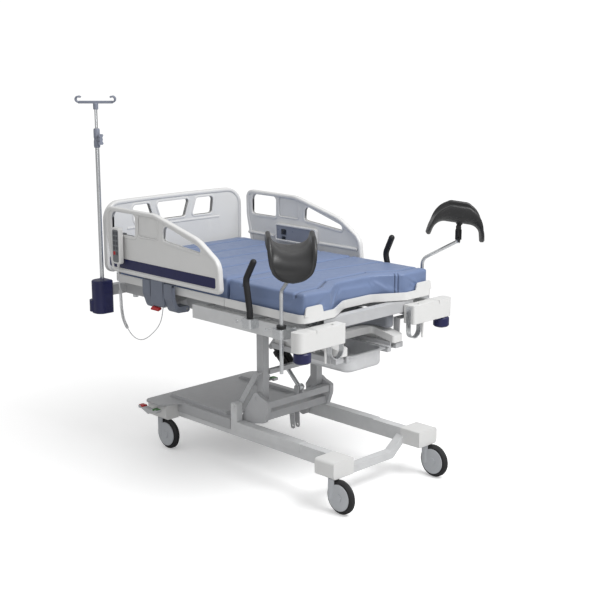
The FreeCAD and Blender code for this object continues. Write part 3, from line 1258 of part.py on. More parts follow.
def leg_support(x, side):
    """Bush, bent rod, joint and saddle pad of one leg support."""
    y = side * ROD_Y
    rod_bore = ROD_R + RUN_FIT
    bush = pin_z(x, y, CLAMP_Z0 - 6.0, CLAMP_Z0 + CLAMP_H + 2.0, BUSH_R)
    flange = pin_z(x, y, CLAMP_Z0 + CLAMP_H + 0.6, CLAMP_Z0 + CLAMP_H + 12.0, BUSH_R + 7.0)
    bush = fuse([bush, flange]).cut(pin_z(x, y, CLAMP_Z0 - 8.0, CLAMP_Z0 + CLAMP_H + 13.0, rod_bore))
    yaw = math.radians(ROD_YAW)
    top = V(x + ROD_REACH * math.cos(yaw), y + side * ROD_REACH * math.sin(yaw), ROD_BEND_Z + ROD_RISE)
    arm = bent_rod([V(x, y, ROD_Z0), V(x, y, ROD_BEND_Z), top], ROD_BEND_R, ROD_R)
    spigot = pin_z(top.x, top.y, top.z - 10.0, top.z + 30.0, ROD_R + 1.0)
    arm = fuse([arm, spigot])
    joint_z0 = top.z + 6.0
    joint = pin_z(top.x, top.y, joint_z0, joint_z0 + JOINT_H, JOINT_R)
    joint = joint.cut(pin_z(top.x, top.y, joint_z0 - 1, top.z + 31.0, ROD_R + 1.0 + RUN_FIT))
    pad_yaw = side * PAD_YAW
    lever = rod(
        V(top.x, top.y - 12.0, joint_z0 + 12.0), V(top.x, top.y - 62.0, joint_z0 + 4.0), 3.5
    )
    lever_tip = Part.makeSphere(7.0, V(top.x, top.y - 62.0, joint_z0 + 4.0))
    tilt_z = joint_z0 + JOINT_H + 12.0
    cheeks = []
    for offset in (5.4, -10.4):
        cheek = plate_xz(
            [(top.x - 12.0, joint_z0 + JOINT_H - 1), (top.x + 12.0, joint_z0 + JOINT_H - 1),
             (top.x + 12.0, tilt_z + 9.0), (top.x - 12.0, tilt_z + 9.0)],
            [0, 0, 8.0, 8.0], top.y + offset, top.y + offset + 5.0,
        )
        cheeks.append(cheek)
    tilt_pin = pin_y(top.x, top.y - 10.0, top.y + 10.0, tilt_z, 4.0)
    joint = fuse([joint, lever, lever_tip, tilt_pin] + cheeks)
    pad = saddle_pad(top, tilt_z)
    turned_joint = turned(joint, top, V(0, 0, 1), pad_yaw)
    turned_pad = turned(pad, top, V(0, 0, 1), pad_yaw)
    return bush, arm, turned_joint, turned_pad


def saddle_section(origin, along, half, depth, wall):
    """Closed U outline square to the pad's path; its bottom lies on the path."""
    up = V(-along.z, 0, along.x)
    if up.z < 0:
        up = up.multiply(-1)

    def at(across, height):
        return origin.add(V(0, across, 0)).add(V(up).multiply(height))

    def side_curve(width, floor):
        rise = depth - floor
        shape = [(1.0, 1.0), (0.95, 0.5), (0.6, 0.11), (0.0, 0.0), (-0.6, 0.11), (-0.95, 0.5), (-1.0, 1.0)]
        curve = Part.BSplineCurve()
        curve.interpolate([at(width * across, floor + rise * height) for across, height in shape])
        return curve

    inner = half - wall * 0.85
    outside = side_curve(half, 0.0)
    inside = side_curve(inner, min(wall, depth * 0.6))
    rims = []
    for sign in (1, -1):
        crest = at(sign * (half + inner) / 2, depth + wall * 0.38)
        rims.append(Part.Arc(at(sign * half, depth), crest, at(sign * inner, depth)))
    curves = [outside, rims[0], inside, rims[1]]
    return Part.Wire(Part.__sortEdges__([curve.toShape() for curve in curves]))


def saddle_pad(top, tilt_z):
    """Trough swept over an arched path: straight middle, both ends bent down to a tongue."""
    under_z = tilt_z + 20.0
    droop = math.radians(PAD_DROOP)
    stations = []
    for share, narrow, shallow in ((0.0, 1.0, 1.0), (0.5, 0.97, 0.62), (1.0, 0.86, 0.42)):
        angle = droop * share
        x = PAD_STRAIGHT + PAD_BEND_R * math.sin(angle)
        z = -PAD_BEND_R * (1 - math.cos(angle))
        stations.append((x, z, angle, narrow, shallow))
    x, z = stations[-1][:2]
    for reach, narrow, shallow in ((0.6, 0.7, 0.3), (1.0, 0.46, 0.18)):
        x1 = x + PAD_TONGUE * reach * math.cos(droop)
        z1 = z - PAD_TONGUE * reach * math.sin(droop)
        stations.append((x1, z1, droop, narrow, shallow))
    wires = []
    for side, row in ((-1, reversed(stations)), (1, stations)):
        for x, z, angle, narrow, shallow in row:
            origin = V(top.x + PAD_SHIFT + side * x, top.y, under_z + z)
            along = V(math.cos(angle), 0, -side * math.sin(angle))
            depth = PAD_DEPTH * shallow
            wires.append(saddle_section(origin, along, PAD_HALF_W * narrow, depth, PAD_WALL))
    body = Part.makeLoft(wires, True, False)
    base_z = tilt_z + 13.0
    boss = Part.makeCone(13.0, 24.0, under_z - base_z + 6.0, V(top.x, top.y, base_z), V(0, 0, 1))
    lug = plate_xz(
        [(top.x - 9.0, tilt_z - 8.0), (top.x + 9.0, tilt_z - 8.0),
         (top.x + 11.0, base_z + 1.0), (top.x - 11.0, base_z + 1.0)],
        [8.0, 8.0, 0, 0], top.y - 4.6, top.y + 4.6,
    )
    lug = lug.cut(pin_y(top.x, top.y - 6.0, top.y + 6.0, tilt_z, 4.0 + RUN_FIT))
    pad = fuse([body, boss, lug])
    return turned(pad, V(top.x, top.y, tilt_z), V(0, 1, 0), PAD_TILT)


for side_name, side, x in (("near", -1, ROD_NEAR_X), ("far", 1, ROD_FAR_X)):
    names = ("leg_bush_", "leg_rod_", "leg_joint_", "leg_pad_")
    for name, piece in zip(names, leg_support(x, side)):
        export(name + side_name, piece)

# Leg section: sliding plate with two tongues and runners, and its pad
leg_low = LEG_TOP - LEG_T - LEG_DROP
leg_plan = [
    (LEG_X0, -LEG_HALF), (LEG_X1, -LEG_HALF), (LEG_X1, -LEG_NOTCH_HALF),
    (LEG_NOTCH_X, -LEG_NOTCH_HALF), (LEG_NOTCH_X, LEG_NOTCH_HALF), (LEG_X1, LEG_NOTCH_HALF),
    (LEG_X1, LEG_HALF), (LEG_X0, LEG_HALF),
]
leg_plate = plate_xy(leg_plan, [0, 16.0, 12.0, 24.0, 24.0, 12.0, 16.0, 0], leg_low, LEG_TOP)
leg_side = [
    (LEG_X0 - 1, LEG_TOP - LEG_T), (LEG_NOTCH_X, LEG_TOP - LEG_T), (LEG_X1 + 1, leg_low),
    (LEG_X1 + 1, LEG_TOP - LEG_DROP), (LEG_NOTCH_X, LEG_TOP), (LEG_X0 - 1, LEG_TOP),
]
leg_plate = leg_plate.common(plate_xz(leg_side, [0, 60.0, 0, 0, 90.0, 0], -LEG_HALF - 1, LEG_HALF + 1))
runner = box(
    LEG_X0 + 10.0, LEG_NOTCH_X - 8.0, GUIDE_IN + 8.0, GUIDE_IN + 38.0,
    GUIDE_Z0 + GUIDE_H + RUN_FIT, LEG_TOP - LEG_T,
)
leg_plate = fuse([leg_plate] + both_sides(runner))
pad_edge = LEG_HALF - 12.0
pad_notch = LEG_NOTCH_HALF + 4.0
pad_foot_x = LEG_X1 - 38.0
pad_notch_x = LEG_NOTCH_X - 36.0
leg_pad_plan = [
    (LEG_X0 + 4.0, -pad_edge), (pad_foot_x, -pad_edge), (pad_foot_x, -pad_notch),
    (pad_notch_x, -pad_notch), (pad_notch_x, pad_notch), (pad_foot_x, pad_notch),
    (pad_foot_x, pad_edge), (LEG_X0 + 4.0, pad_edge),
]
leg_pad = plate_xy(
    leg_pad_plan, [0, 20.0, 24.0, 60.0, 60.0, 24.0, 20.0, 0],
    LEG_TOP - LEG_DROP, LEG_TOP + SOFT_GAP + LEG_PAD_T,
)
crown_edges = [
    edge for edge in leg_pad.Edges
    if edge.BoundBox.ZLength < 0.01 and edge.BoundBox.ZMax > LEG_TOP + LEG_PAD_T
    and edge.BoundBox.XMax > LEG_X0 + 5.0
]
leg_pad = leg_pad.makeFillet(12.0, crown_edges)
seat_side = [
    (LEG_X0 - 1, leg_low - 20.0), (LEG_X1 + 1, leg_low - 20.0),
    (LEG_X1 + 1, LEG_TOP - LEG_DROP + SOFT_GAP), (LEG_NOTCH_X, LEG_TOP + SOFT_GAP),
    (LEG_X0 - 1, LEG_TOP + SOFT_GAP),
]
leg_pad = leg_pad.cut(plate_xz(seat_side, [0, 0, 0, 90.0, 0], -LEG_HALF, LEG_HALF))
export("leg_section", leg_plate)
export("leg_cushion", leg_pad)

# Basin: deep drawn bowl with a flat rim that runs in the channels
rim_plan = rectangle(BASIN_X0, BASIN_X0 + BASIN_LEN, -BASIN_HALF, BASIN_HALF)
rim = plate_xy(rim_plan, 30.0, BASIN_RIM_Z - 3.0, BASIN_RIM_Z)
bowl_plan = rectangle(
    BASIN_X0 + BASIN_RIM, BASIN_X0 + BASIN_LEN - BASIN_RIM,
    -BASIN_HALF + BASIN_RIM, BASIN_HALF - BASIN_RIM,
)
bowl = plate_xy(bowl_plan, 42.0, BASIN_RIM_Z - BASIN_DEPTH, BASIN_RIM_Z)
floor_edges = [
    edge for edge in bowl.Edges
    if edge.BoundBox.ZLength < 0.01 and edge.BoundBox.ZMax < BASIN_RIM_Z - BASIN_DEPTH + 1
]
bowl = bowl.makeFillet(20.0, floor_edges)
well_plan = rectangle(
    BASIN_X0 + BASIN_RIM + BASIN_T, BASIN_X0 + BASIN_LEN - BASIN_RIM - BASIN_T,
    -BASIN_HALF + BASIN_RIM + BASIN_T, BASIN_HALF - BASIN_RIM - BASIN_T,
)
well = plate_xy(well_plan, 42.0 - BASIN_T, BASIN_RIM_Z - BASIN_DEPTH + BASIN_T, BASIN_RIM_Z + 1)
well_edges = [
    edge for edge in well.Edges
    if edge.BoundBox.ZLength < 0.01 and edge.BoundBox.ZMax < BASIN_RIM_Z - BASIN_DEPTH + 5
]
well = well.makeFillet(20.0 - BASIN_T, well_edges)
export("basin", fuse([rim, bowl]).cut(well))
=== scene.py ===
import math

import bmesh
import bpy
from mathutils import Matrix, Vector


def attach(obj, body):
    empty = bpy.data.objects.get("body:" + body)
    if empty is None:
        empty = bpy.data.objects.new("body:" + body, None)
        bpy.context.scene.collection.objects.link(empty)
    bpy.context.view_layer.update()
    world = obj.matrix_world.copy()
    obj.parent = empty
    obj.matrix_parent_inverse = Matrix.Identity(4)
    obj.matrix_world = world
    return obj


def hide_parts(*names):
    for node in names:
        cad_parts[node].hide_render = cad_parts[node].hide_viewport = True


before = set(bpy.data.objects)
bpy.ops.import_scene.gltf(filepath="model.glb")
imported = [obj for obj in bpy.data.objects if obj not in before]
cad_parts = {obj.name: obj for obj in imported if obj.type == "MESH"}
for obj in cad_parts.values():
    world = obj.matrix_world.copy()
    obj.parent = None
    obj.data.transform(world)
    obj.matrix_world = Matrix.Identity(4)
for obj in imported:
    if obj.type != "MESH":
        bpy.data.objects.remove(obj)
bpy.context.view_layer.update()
scene = bpy.context.scene
scene.view_settings.view_transform = "Standard"


def linked(name, data):
    """New object that stands in the scene."""
    made = bpy.data.objects.new(name, data)
    scene.collection.objects.link(made)
    return made


# Camera, fitted to the photo
AZIMUTH, ELEVATION = math.radians(45.18), math.radians(12.55)
camera_data = bpy.data.cameras.new("camera")
camera_data.sensor_width = 36.0
camera_data.lens = 69.9
camera_data.clip_end = 50.0
camera = linked("camera", camera_data)
scene.camera = camera
camera.location = (3.7495, -3.706, 1.963)
toward_eye = Vector((
    math.sin(AZIMUTH) * math.cos(ELEVATION),
    -math.cos(AZIMUTH) * math.cos(ELEVATION),
    math.sin(ELEVATION),
))
camera.rotation_mode = "QUATERNION"
camera.rotation_quaternion = (-toward_eye).to_track_quat("-Z", "Y")


# Small helpers
def linear(code):
    """A hex sRGB colour as linear RGBA."""
    values = [int(code[i:i + 2], 16) / 255.0 for i in (0, 2, 4)]
    return [v / 12.92 if v <= 0.04045 else ((v + 0.055) / 1.055) ** 2.4 for v in values] + [1.0]


def add_node(tree, kind, inputs=(), **settings):
    """One node; inputs maps socket names to a value or to another node's output."""
    made = tree.nodes.new(kind)
    for name, value in settings.items():
        setattr(made, name, value)
    for name, value in dict(inputs).items():
        if isinstance(value, bpy.types.NodeSocket):
            tree.links.new(value, made.inputs[name])
        else:
            made.inputs[name].default_value = value
    return made


def add_piece(name, mesh, body, material, replaces=()):
    """Link a mesh as a piece that rides on a body."""
    piece = linked(name, mesh)
    for entry in material if isinstance(material, list) else [material]:
        mesh.materials.append(entry)
    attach(piece, body)
    if replaces:
        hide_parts(*replaces)
    return piece


def smooth(mesh, degrees=40.0):
    """Smooth shading with edges kept sharp above an angle."""
    for face in mesh.polygons:
        face.use_smooth = True
    mesh.set_sharp_from_angle(angle=math.radians(degrees))
    return mesh


def opened(mesh):
    """A mesh as a bmesh, to be edited."""
    shape = bmesh.new()
    shape.from_mesh(mesh)
    return shape


def written(shape, mesh):
    """Write a bmesh into a mesh and free it."""
    shape.to_mesh(mesh)
    shape.free()
    return mesh


def tidy(mesh, turn=30.0):
    """Merge doubles, point the faces outwards and smooth the shading."""
    shape = opened(mesh)
    bmesh.ops.remove_doubles(shape, verts=shape.verts, dist=2e-5)
    bmesh.ops.recalc_face_normals(shape, faces=shape.faces)
    return smooth(written(shape, mesh), turn)


def evaluated(holder):
    """Mesh of a curve, or of an object with its modifiers applied; the object is removed."""
    bpy.context.view_layer.update()
    graph = bpy.context.evaluated_depsgraph_get()
    mesh = bpy.data.meshes.new_from_object(holder.evaluated_get(graph))
    bpy.data.objects.remove(holder)
    return mesh


def modified(mesh, kind, **settings):
    """The mesh with one modifier applied."""
    holder = linked("modified", mesh)
    step = holder.modifiers.new("step", kind)
    for name, value in settings.items():
        setattr(step, name, value)
    return evaluated(holder)


# Filled outlines with rounded edges
def rounded(points, radii, steps=7):
    """2D outline in millimetres with each corner turned by its own radius."""
    if not isinstance(radii, list):
        radii = [radii] * len(points)
    result = []
    for i, radius in enumerate(radii):
        here = Vector(points[i])
        before = (Vector(points[i - 1]) - here).normalized()
        after = (Vector(points[(i + 1) % len(points)]) - here).normalized()
        half = before.angle(after) / 2.0
        if radius <= 0 or half > 1.55:
            result.append(here)
            continue
        centre = here + (before + after).normalized() * (radius / math.sin(half))
        first = here + before * radius / math.tan(half) - centre
        last = here + after * radius / math.tan(half) - centre
        for k in range(steps + 1):
            share = k / steps
            result.append(centre + first.slerp(last, share) * radius)
    return result


def rounded_box(x0, y0, x1, y1, radii, steps=7):
    """Rectangle between two corners in millimetres, rounded."""
    return rounded([(x0, y0), (x1, y0), (x1, y1), (x0, y1)], radii, steps)


def area_of(outline):
    """Signed area: positive when the outline runs counter-clockwise."""
    total = 0.0
    for here, after in zip(outline, outline[1:] + outline[:1]):
        total += here[0] * after[1] - after[0] * here[1]
    return total / 2.0


def inset(outline, distance):
    """The outline moved inwards by a distance; a negative one moves it outwards."""
    sign = 1.0 if area_of(outline) > 0 else -1.0
    result = []
    for i, here in enumerate(outline):
        before = Vector(here) - Vector(outline[i - 1])
        after = Vector(outline[(i + 1) % len(outline)]) - Vector(here)
        if before.length < 1e-6 or after.length < 1e-6:
            continue
        along = (before.normalized() + after.normalized()).normalized()
        cosine = max(0.5, along.dot(after.normalized()))
        result.append(Vector(here) + Vector((-along.y, along.x)) * sign * distance / cosine)
    return result


# From a drawing in x and y with its depth in z to the plane that it is drawn in
PLANES = {
    "xz": Matrix(((1, 0, 0, 0), (0, 0, -1, 0), (0, 1, 0, 0), (0, 0, 0, 1))),
    "xy": Matrix.Identity(4),
    "yz": Matrix(((0, 0, 1, 0), (1, 0, 0, 0), (0, 1, 0, 0), (0, 0, 0, 1))),
}


def plate(outlines, low, high, plane="xz", bevel=2.0, segments=3):
    """Solid plate from an outline and its holes, between two levels, all in millimetres."""
    curve = bpy.data.curves.new("plate", "CURVE")
    curve.dimensions = "2D"
    curve.fill_mode = "BOTH"
    bevel = min(bevel, (high - low) * 0.49)
    curve.extrude = ((high - low) / 2.0 - bevel) / 1000.0
    curve.bevel_depth = bevel / 1000.0
    curve.bevel_resolution = segments
    curve.offset = -bevel / 1000.0
    for index, outline in enumerate(outlines):
        if (area_of(outline) > 0) != (index == 0):
            outline = list(reversed(outline))
        spline = curve.splines.new("POLY")
        spline.points.add(len(outline) - 1)
        for point, place in zip(spline.points, outline):
            point.co = (place[0] / 1000.0, place[1] / 1000.0, 0.0, 1.0)
        spline.use_cyclic_u = True
    mesh = evaluated(linked("plate", curve))
    middle = (low + high) / 2000.0
    mesh.transform(PLANES[plane] @ Matrix.Translation((0, 0, -middle if plane == "xz" else middle)))
    return tidy(mesh)


def joined(name, parts):
    """One mesh from pairs of a mesh and its material slot."""
    shape = bmesh.new()
    count = 0
    for part, slot_index in parts:
        shape.from_mesh(part)
        shape.faces.ensure_lookup_table()
        for face in shape.faces[count:]:
            face.material_index = slot_index
        count = len(shape.faces)
    return smooth(written(shape, bpy.data.meshes.new(name)), 30.0)


def flipped(mesh):
    """The same mesh on the other side of the bed."""
    copy = mesh.copy()
    copy.transform(Matrix.Scale(-1, 4, (0, 1, 0)))
    return tidy(copy)


def box_mesh(low, high, bevel=1.0):
    """Block between two corners in millimetres, edges rounded."""
    return plate([rounded_box(*low[:2], *high[:2], bevel, 4)], low[2], high[2], "xy", bevel)


def skinned(name, rings):
    """Closed mesh over a row of rings, each with the same count of points in metres."""
    shape = bmesh.new()
    rows = [[shape.verts.new(point) for point in ring] for ring in rings]
    count = len(rows[0])
    for low, high in zip(rows, rows[1:]):
        for k in range(count):
            after = (k + 1) % count
            shape.faces.new((low[k], low[after], high[after], high[k]))
    shape.faces.new(list(reversed(rows[0])))
    shape.faces.new(rows[-1])
    return written(shape, bpy.data.meshes.new(name))


TURNED_SIDES = 28


def full_turn(sides):
    """Angles of the points of a round ring."""
    return [2 * math.pi * k / sides for k in range(sides)]


def turned_mesh(profile, centre):
    """Profile of (radius, height) pairs in millimetres, revolved about a vertical line."""
    rings = []
    for radius, height in profile:
        ring = [Vector((radius * math.cos(a), radius * math.sin(a), height))
                for a in full_turn(TURNED_SIDES)]
        rings.append([(Vector(centre) + place) / 1000.0 for place in ring])
    return tidy(skinned("turned", rings), 35.0)


def carved(mesh, low, high):
    """Take a block between two corners in millimetres out of a closed mesh."""
    cutter = linked("cutter", box_mesh(low, high, 0.4))
    made = modified(mesh, "BOOLEAN", operation="DIFFERENCE", object=cutter)
    bpy.data.objects.remove(cutter)
    return made


# Handset cord: lead, curly part and cable are one line, in metres
CORD_ROUTE = [
    (-0.7120, -0.4870, 0.9140), (-0.7100, -0.4876, 0.8620), (-0.7060, -0.4870, 0.8120),
    (-0.7025, -0.4866, 0.7620), (-0.7005, -0.4864, 0.7100), (-0.6870, -0.4860, 0.6580),
    (-0.6520, -0.4856, 0.6180), (-0.6230, -0.4846, 0.5940), (-0.5860, -0.4826, 0.5820),
    (-0.5490, -0.4790, 0.5850), (-0.5150, -0.4740, 0.6030), (-0.4840, -0.4670, 0.6290),
    (-0.4520, -0.4600, 0.6620), (-0.4280, -0.4556, 0.7080), (-0.4210, -0.4540, 0.7590),
]
CORD_RADIUS = 0.0022
COIL_TOP_Z, COIL_END = 0.806, (-0.655, -0.4856, 0.622)
COIL_RADIUS, COIL_PITCH = 0.0064, 0.0056
COIL_RAMP = 8.0  # steps of the line over which the coil opens and closes


def route_line(points):
    """Points along the smooth spline that the route's points control."""
    curve = bpy.data.curves.new("route", "CURVE")
    curve.dimensions = "3D"
    spline = curve.splines.new("NURBS")
    spline.points.add(len(points) - 1)
    for point, place in zip(spline.points, points):
        point.co = (*place, 1.0)
    spline.order_u = 3
    spline.use_endpoint_u = True
    curve.resolution_u = 24
    mesh = evaluated(linked("route", curve))
    line = [v.co.copy() for v in mesh.vertices]
    bpy.data.meshes.remove(mesh)
    return line


def resample(line, step):
    """The same line as points an even step apart."""
    lengths = [0.0]
    for before, after in zip(line, line[1:]):
        lengths.append(lengths[-1] + (after - before).length)
    count = max(2, round(lengths[-1] / step))
    result = []
    index = 0
    for i in range(count + 1):
        target = lengths[-1] * i / count
        while index < len(lengths) - 2 and lengths[index + 1] < target:
            index += 1
        span = max(lengths[index + 1] - lengths[index], 1e-9)
        result.append(line[index].lerp(line[index + 1], (target - lengths[index]) / span))
    return result


def tube_mesh(name, line, radius, sides=10):
    """A round tube along a line."""
    across = (line[1] - line[0]).normalized().orthogonal().normalized()
    rings = []
    for i, point in enumerate(line):
        ahead = (line[min(i + 1, len(line) - 1)] - line[max(i - 1, 0)]).normalized()
        across = (across - ahead * across.dot(ahead)).normalized()
        up = ahead.cross(across)
        rings.append([point + radius * (math.cos(a) * across + math.sin(a) * up) for a in full_turn(sides)])
    return smooth(skinned(name, rings), 50.0)


def curly_line(line):
    """Wind the line into a helix between two points on it, with soft ends."""
    fine = resample(line, 0.0009)
    first = min(range(len(fine)), key=lambda i: abs(fine[i].z - COIL_TOP_Z))
    last = min(range(len(fine)), key=lambda i: (fine[i] - Vector(COIL_END)).length)
    across = (fine[first + 1] - fine[first]).normalized().orthogonal().normalized()
    result = []
    travelled = 0.0
    for i, point in enumerate(fine):
        if first <= i <= last:
            ahead = (fine[i + 1] - fine[i - 1]).normalized()
            across = (across - ahead * across.dot(ahead)).normalized()
            up = ahead.cross(across)
            travelled += (fine[i] - fine[i - 1]).length
            ramp = min(1.0, (i - first) / COIL_RAMP, (last - i) / COIL_RAMP)
            angle = 2 * math.pi * travelled / COIL_PITCH
            result.append(point + COIL_RADIUS * ramp * (math.cos(angle) * across + math.sin(angle) * up))
        else:
            result.append(point.copy())
    return resample(result, 0.0035)


# Materials, named for the real finishes
def base_material(name, colour, roughness, metallic, edge_mm):
    """Principled surface; returns material, tree, shader, coordinates and rounded-looking normal."""
    made = bpy.data.materials.new(name)
    made.use_nodes = True
    tree = made.node_tree
    shader = tree.nodes["Principled BSDF"]
    shader.inputs["Base Color"].default_value = linear(colour)
    shader.inputs["Roughness"].default_value = roughness
    shader.inputs["Metallic"].default_value = metallic
    place = add_node(tree, "ShaderNodeTexCoord").outputs["Object"]
    normal = None
    if edge_mm:
        normal = add_node(tree, "ShaderNodeBevel", {"Radius": edge_mm / 1000.0}, samples=4).outputs["Normal"]
    return made, tree, shader, place, normal


def noise(tree, place, size_mm, detail=3.0, distortion=0.0):
    """Noise whose features are about this many millimetres across."""
    return add_node(
        tree, "ShaderNodeTexNoise",
        {"Vector": place, "Scale": 1000.0 / size_mm, "Detail": detail, "Distortion": distortion},
    ).outputs["Fac"]


def spread(tree, value, low, high):
    """Map a 0.3 to 0.7 noise to a range."""
    return add_node(
        tree, "ShaderNodeMapRange",
        {"Value": value, "From Min": 0.3, "From Max": 0.7, "To Min": low, "To Max": high},
    ).outputs["Result"]


def shade(tree, colour, factor):
    """The colour multiplied by a grey factor."""
    grey = add_node(tree, "ShaderNodeCombineXYZ", {"X": factor, "Y": factor, "Z": factor}).outputs[0]
    base = add_node(tree, "ShaderNodeRGB").outputs[0]
    base.default_value = linear(colour)
    return add_node(
        tree, "ShaderNodeVectorMath", {0: base, 1: grey}, operation="MULTIPLY"
    ).outputs["Vector"]


def bump(tree, height, distance_mm, strength, normal):
    """Relief on top of another normal, or of the plain surface when that is None."""
    inputs = {"Height": height, "Distance": distance_mm / 1000.0, "Strength": strength}
    if normal is not None:
        inputs["Normal"] = normal
    return add_node(tree, "ShaderNodeBump", inputs).outputs["Normal"]


def finish_material(name, colour, roughness, edge_mm=1.2, grain_mm=0.8, grain_depth=0.01,
                    mottle=0.04, mottle_mm=60.0, rough_spread=0.06, coat=0.0):
    """Paint or moulded plastic: slow colour drift, uneven gloss and a fine surface grain."""
    made, tree, shader, place, normal = base_material(name, colour, roughness, 0.0, edge_mm)
    slow = noise(tree, place, mottle_mm)
    colour_out = shade(tree, colour, spread(tree, slow, 1.0 - mottle, 1.0 + mottle))
    tree.links.new(colour_out, shader.inputs["Base Color"])
    patch = noise(tree, place, mottle_mm / 3.0, 4.0)
    tree.links.new(
        spread(tree, patch, roughness - rough_spread, roughness + rough_spread),
        shader.inputs["Roughness"],
    )
    fine = noise(tree, place, grain_mm, 2.0)
    tree.links.new(bump(tree, fine, grain_depth, 0.6, normal), shader.inputs["Normal"])
    if coat:
        shader.inputs["Coat Weight"].default_value = coat
        shader.inputs["Coat Roughness"].default_value = 0.12
    return made


def brushed_metal(name, colour, roughness, stretch=(1.0, 1.0, 30.0), grain_mm=0.6, depth=0.01,
                  metallic=1.0):
    """Metal with fine lines along one direction."""
    made, tree, shader, place, normal = base_material(name, colour, roughness, metallic, 0.8)
    stretched = add_node(
        tree, "ShaderNodeMapping", {"Vector": place, "Scale": [1.0 / s for s in stretch]}
    ).outputs["Vector"]
    lines = noise(tree, stretched, grain_mm, 2.0)
    tree.links.new(spread(tree, lines, roughness - 0.05, roughness + 0.09), shader.inputs["Roughness"])
    slow = noise(tree, place, 45.0)
    tree.links.new(shade(tree, colour, spread(tree, slow, 0.94, 1.04)), shader.inputs["Base Color"])
    tree.links.new(bump(tree, lines, depth, 0.5, normal), shader.inputs["Normal"])
    return made


def grained_cover(name, colour, roughness, pebble_mm, depth, sheen=0.1, mottle=0.05, crease=0.0):
    """Coated upholstery: pebbled grain, slow drift, faint rub marks and painted shade darkening the sewn
    grooves.
    """
    made, tree, shader, place, _ = base_material(name, colour, roughness, 0.0, 0)
    cells = add_node(
        tree, "ShaderNodeTexVoronoi", {"Vector": place, "Scale": 1000.0 / pebble_mm},
        feature="SMOOTH_F1",
    ).outputs["Distance"]
    slow = noise(tree, place, 170.0, 4.0)
    rub = noise(tree, place, 35.0, 5.0, 0.4)
    # Painted shade: the cover's colour is darkened along the sewn grooves and pleats, where shade falls in
    # the creases
    painted_groove_shade = add_node(tree, "ShaderNodeAttribute", attribute_name="painted_groove_shade").outputs["Fac"]
    level = add_node(
        tree, "ShaderNodeMath", {0: painted_groove_shade, 1: -0.6, 2: spread(tree, slow, 1.0 - mottle, 1.0 + mottle)},
        operation="MULTIPLY_ADD",
    ).outputs[0]
    tree.links.new(shade(tree, colour, level), shader.inputs["Base Color"])
    tree.links.new(spread(tree, rub, roughness - 0.07, roughness + 0.07), shader.inputs["Roughness"])
    normal = bump(tree, cells, depth, 0.55, None)
    if crease:
        wide = noise(tree, place, 90.0, 3.0, 0.8)
        normal = bump(tree, wide, crease, 0.7, normal)
    tree.links.new(normal, shader.inputs["Normal"])
    shader.inputs["Sheen Weight"].default_value = sheen
    shader.inputs["Sheen Roughness"].default_value = 0.5
    return made


# Grey enamel on the lift, bed frame and brake bar, slightly orange-peeled
GREY_PAINT = finish_material("grey_enamel", "BABBBD", 0.4, grain_mm=3.0, coat=0.2)
# Pale grey powder coat on the base frame, its rail covers and the side beams
PALE_PAINT = finish_material("pale_powder_coat", "D4D5D6", 0.42, grain_mm=1.2)
# White glossy moulded ABS of trays, rails, headboard and foot arms
WHITE_ABS = finish_material("white_abs", "DFDFDE", 0.32, edge_mm=2.5, grain_mm=0.9, grain_depth=0.002,
                            mottle=0.01, rough_spread=0.03, coat=0.1)
# Grey covers of the base
GREY_ABS = finish_material("grey_abs", "B4B5B7", 0.42, edge_mm=2.0, grain_depth=0.015, mottle=0.02)
# Black textured plastic of motors, clamps and knobs
BLACK_PLASTIC = finish_material("black_plastic", "161617", 0.46, grain_mm=0.7, grain_depth=0.03,
                                mottle=0.08)
# Navy moulded bumpers, stripes and rollers
NAVY_PLASTIC = finish_material("navy_plastic", "171A4C", 0.42, edge_mm=1.5, grain_depth=0.02, mottle=0.06)
# Slate grey moulded swing arms, latch boxes and panel
SLATE_PLASTIC = finish_material("slate_plastic", "747A88", 0.44, edge_mm=1.8, grain_depth=0.02)
# Red release handles and both colours of the brake levers' ends
RED_PLASTIC = finish_material("red_plastic", "B51A1F", 0.32)
GREEN_PLASTIC = finish_material("green_plastic", "2E6B2A", 0.36)
# Soft vinyl grip, matt with a fine stipple
GRIP_VINYL = finish_material("grip_vinyl", "17171A", 0.55, edge_mm=0, grain_mm=1.1, grain_depth=0.08,
                             mottle=0.1)
# Castors: worn black tyre, smooth grey housing
TYRE_RUBBER = finish_material("tyre_rubber", "1D1D1F", 0.62, edge_mm=1.0, grain_mm=1.5,
                              grain_depth=0.05, mottle=0.12, mottle_mm=20.0)
CASTOR_GREY = finish_material("castor_grey", "B9BCC0", 0.38, grain_depth=0.012)
# Brushed stainless tube and pressed bowl, and polished chrome
STEEL = brushed_metal("brushed_stainless", "D8DADC", 0.27)
BOWL_STEEL = brushed_metal("pressed_stainless", "E2E3E5", 0.34, (25.0, 1.0, 25.0), 0.5, 0.004, 0.7)
CHROME = brushed_metal("chrome_plate", "DDDFE1", 0.1, (1.0, 1.0, 8.0), 0.8, 0.002)
# Coated upholstery: blue mattress, grey leg section; self-skinned black foam of the leg pads
BLUE_VINYL = grained_cover("blue_upholstery", "6F80A3", 0.44, 1.6, 0.03, sheen=0.03, crease=0.05)
GREY_VINYL = grained_cover("grey_upholstery", "85888F", 0.55, 1.6, 0.05)
BLACK_FOAM = grained_cover("black_foam_skin", "222223", 0.4, 1.3, 0.03, sheen=0.04, mottle=0.08)
# Blue-grey moulded clamps, knob and tee of the infusion pole
POLE_PLASTIC = finish_material("pole_plastic", "868B99", 0.4, edge_mm=1.0)
# Soft pale cord jacket, grey keypad with dark keys, and display glass
CORD_JACKET = finish_material("cord_jacket", "CFD0D2", 0.45, edge_mm=0)
KEYPAD = finish_material("keypad", "74777A", 0.5, edge_mm=0.5, grain_mm=0.6)
KEY_RUBBER = finish_material("key_rubber", "505358", 0.55, edge_mm=0.5, grain_mm=0.6)
DISPLAY = finish_material("display_glass", "15171C", 0.12, edge_mm=0.5, grain_mm=0.6, grain_depth=0.001)

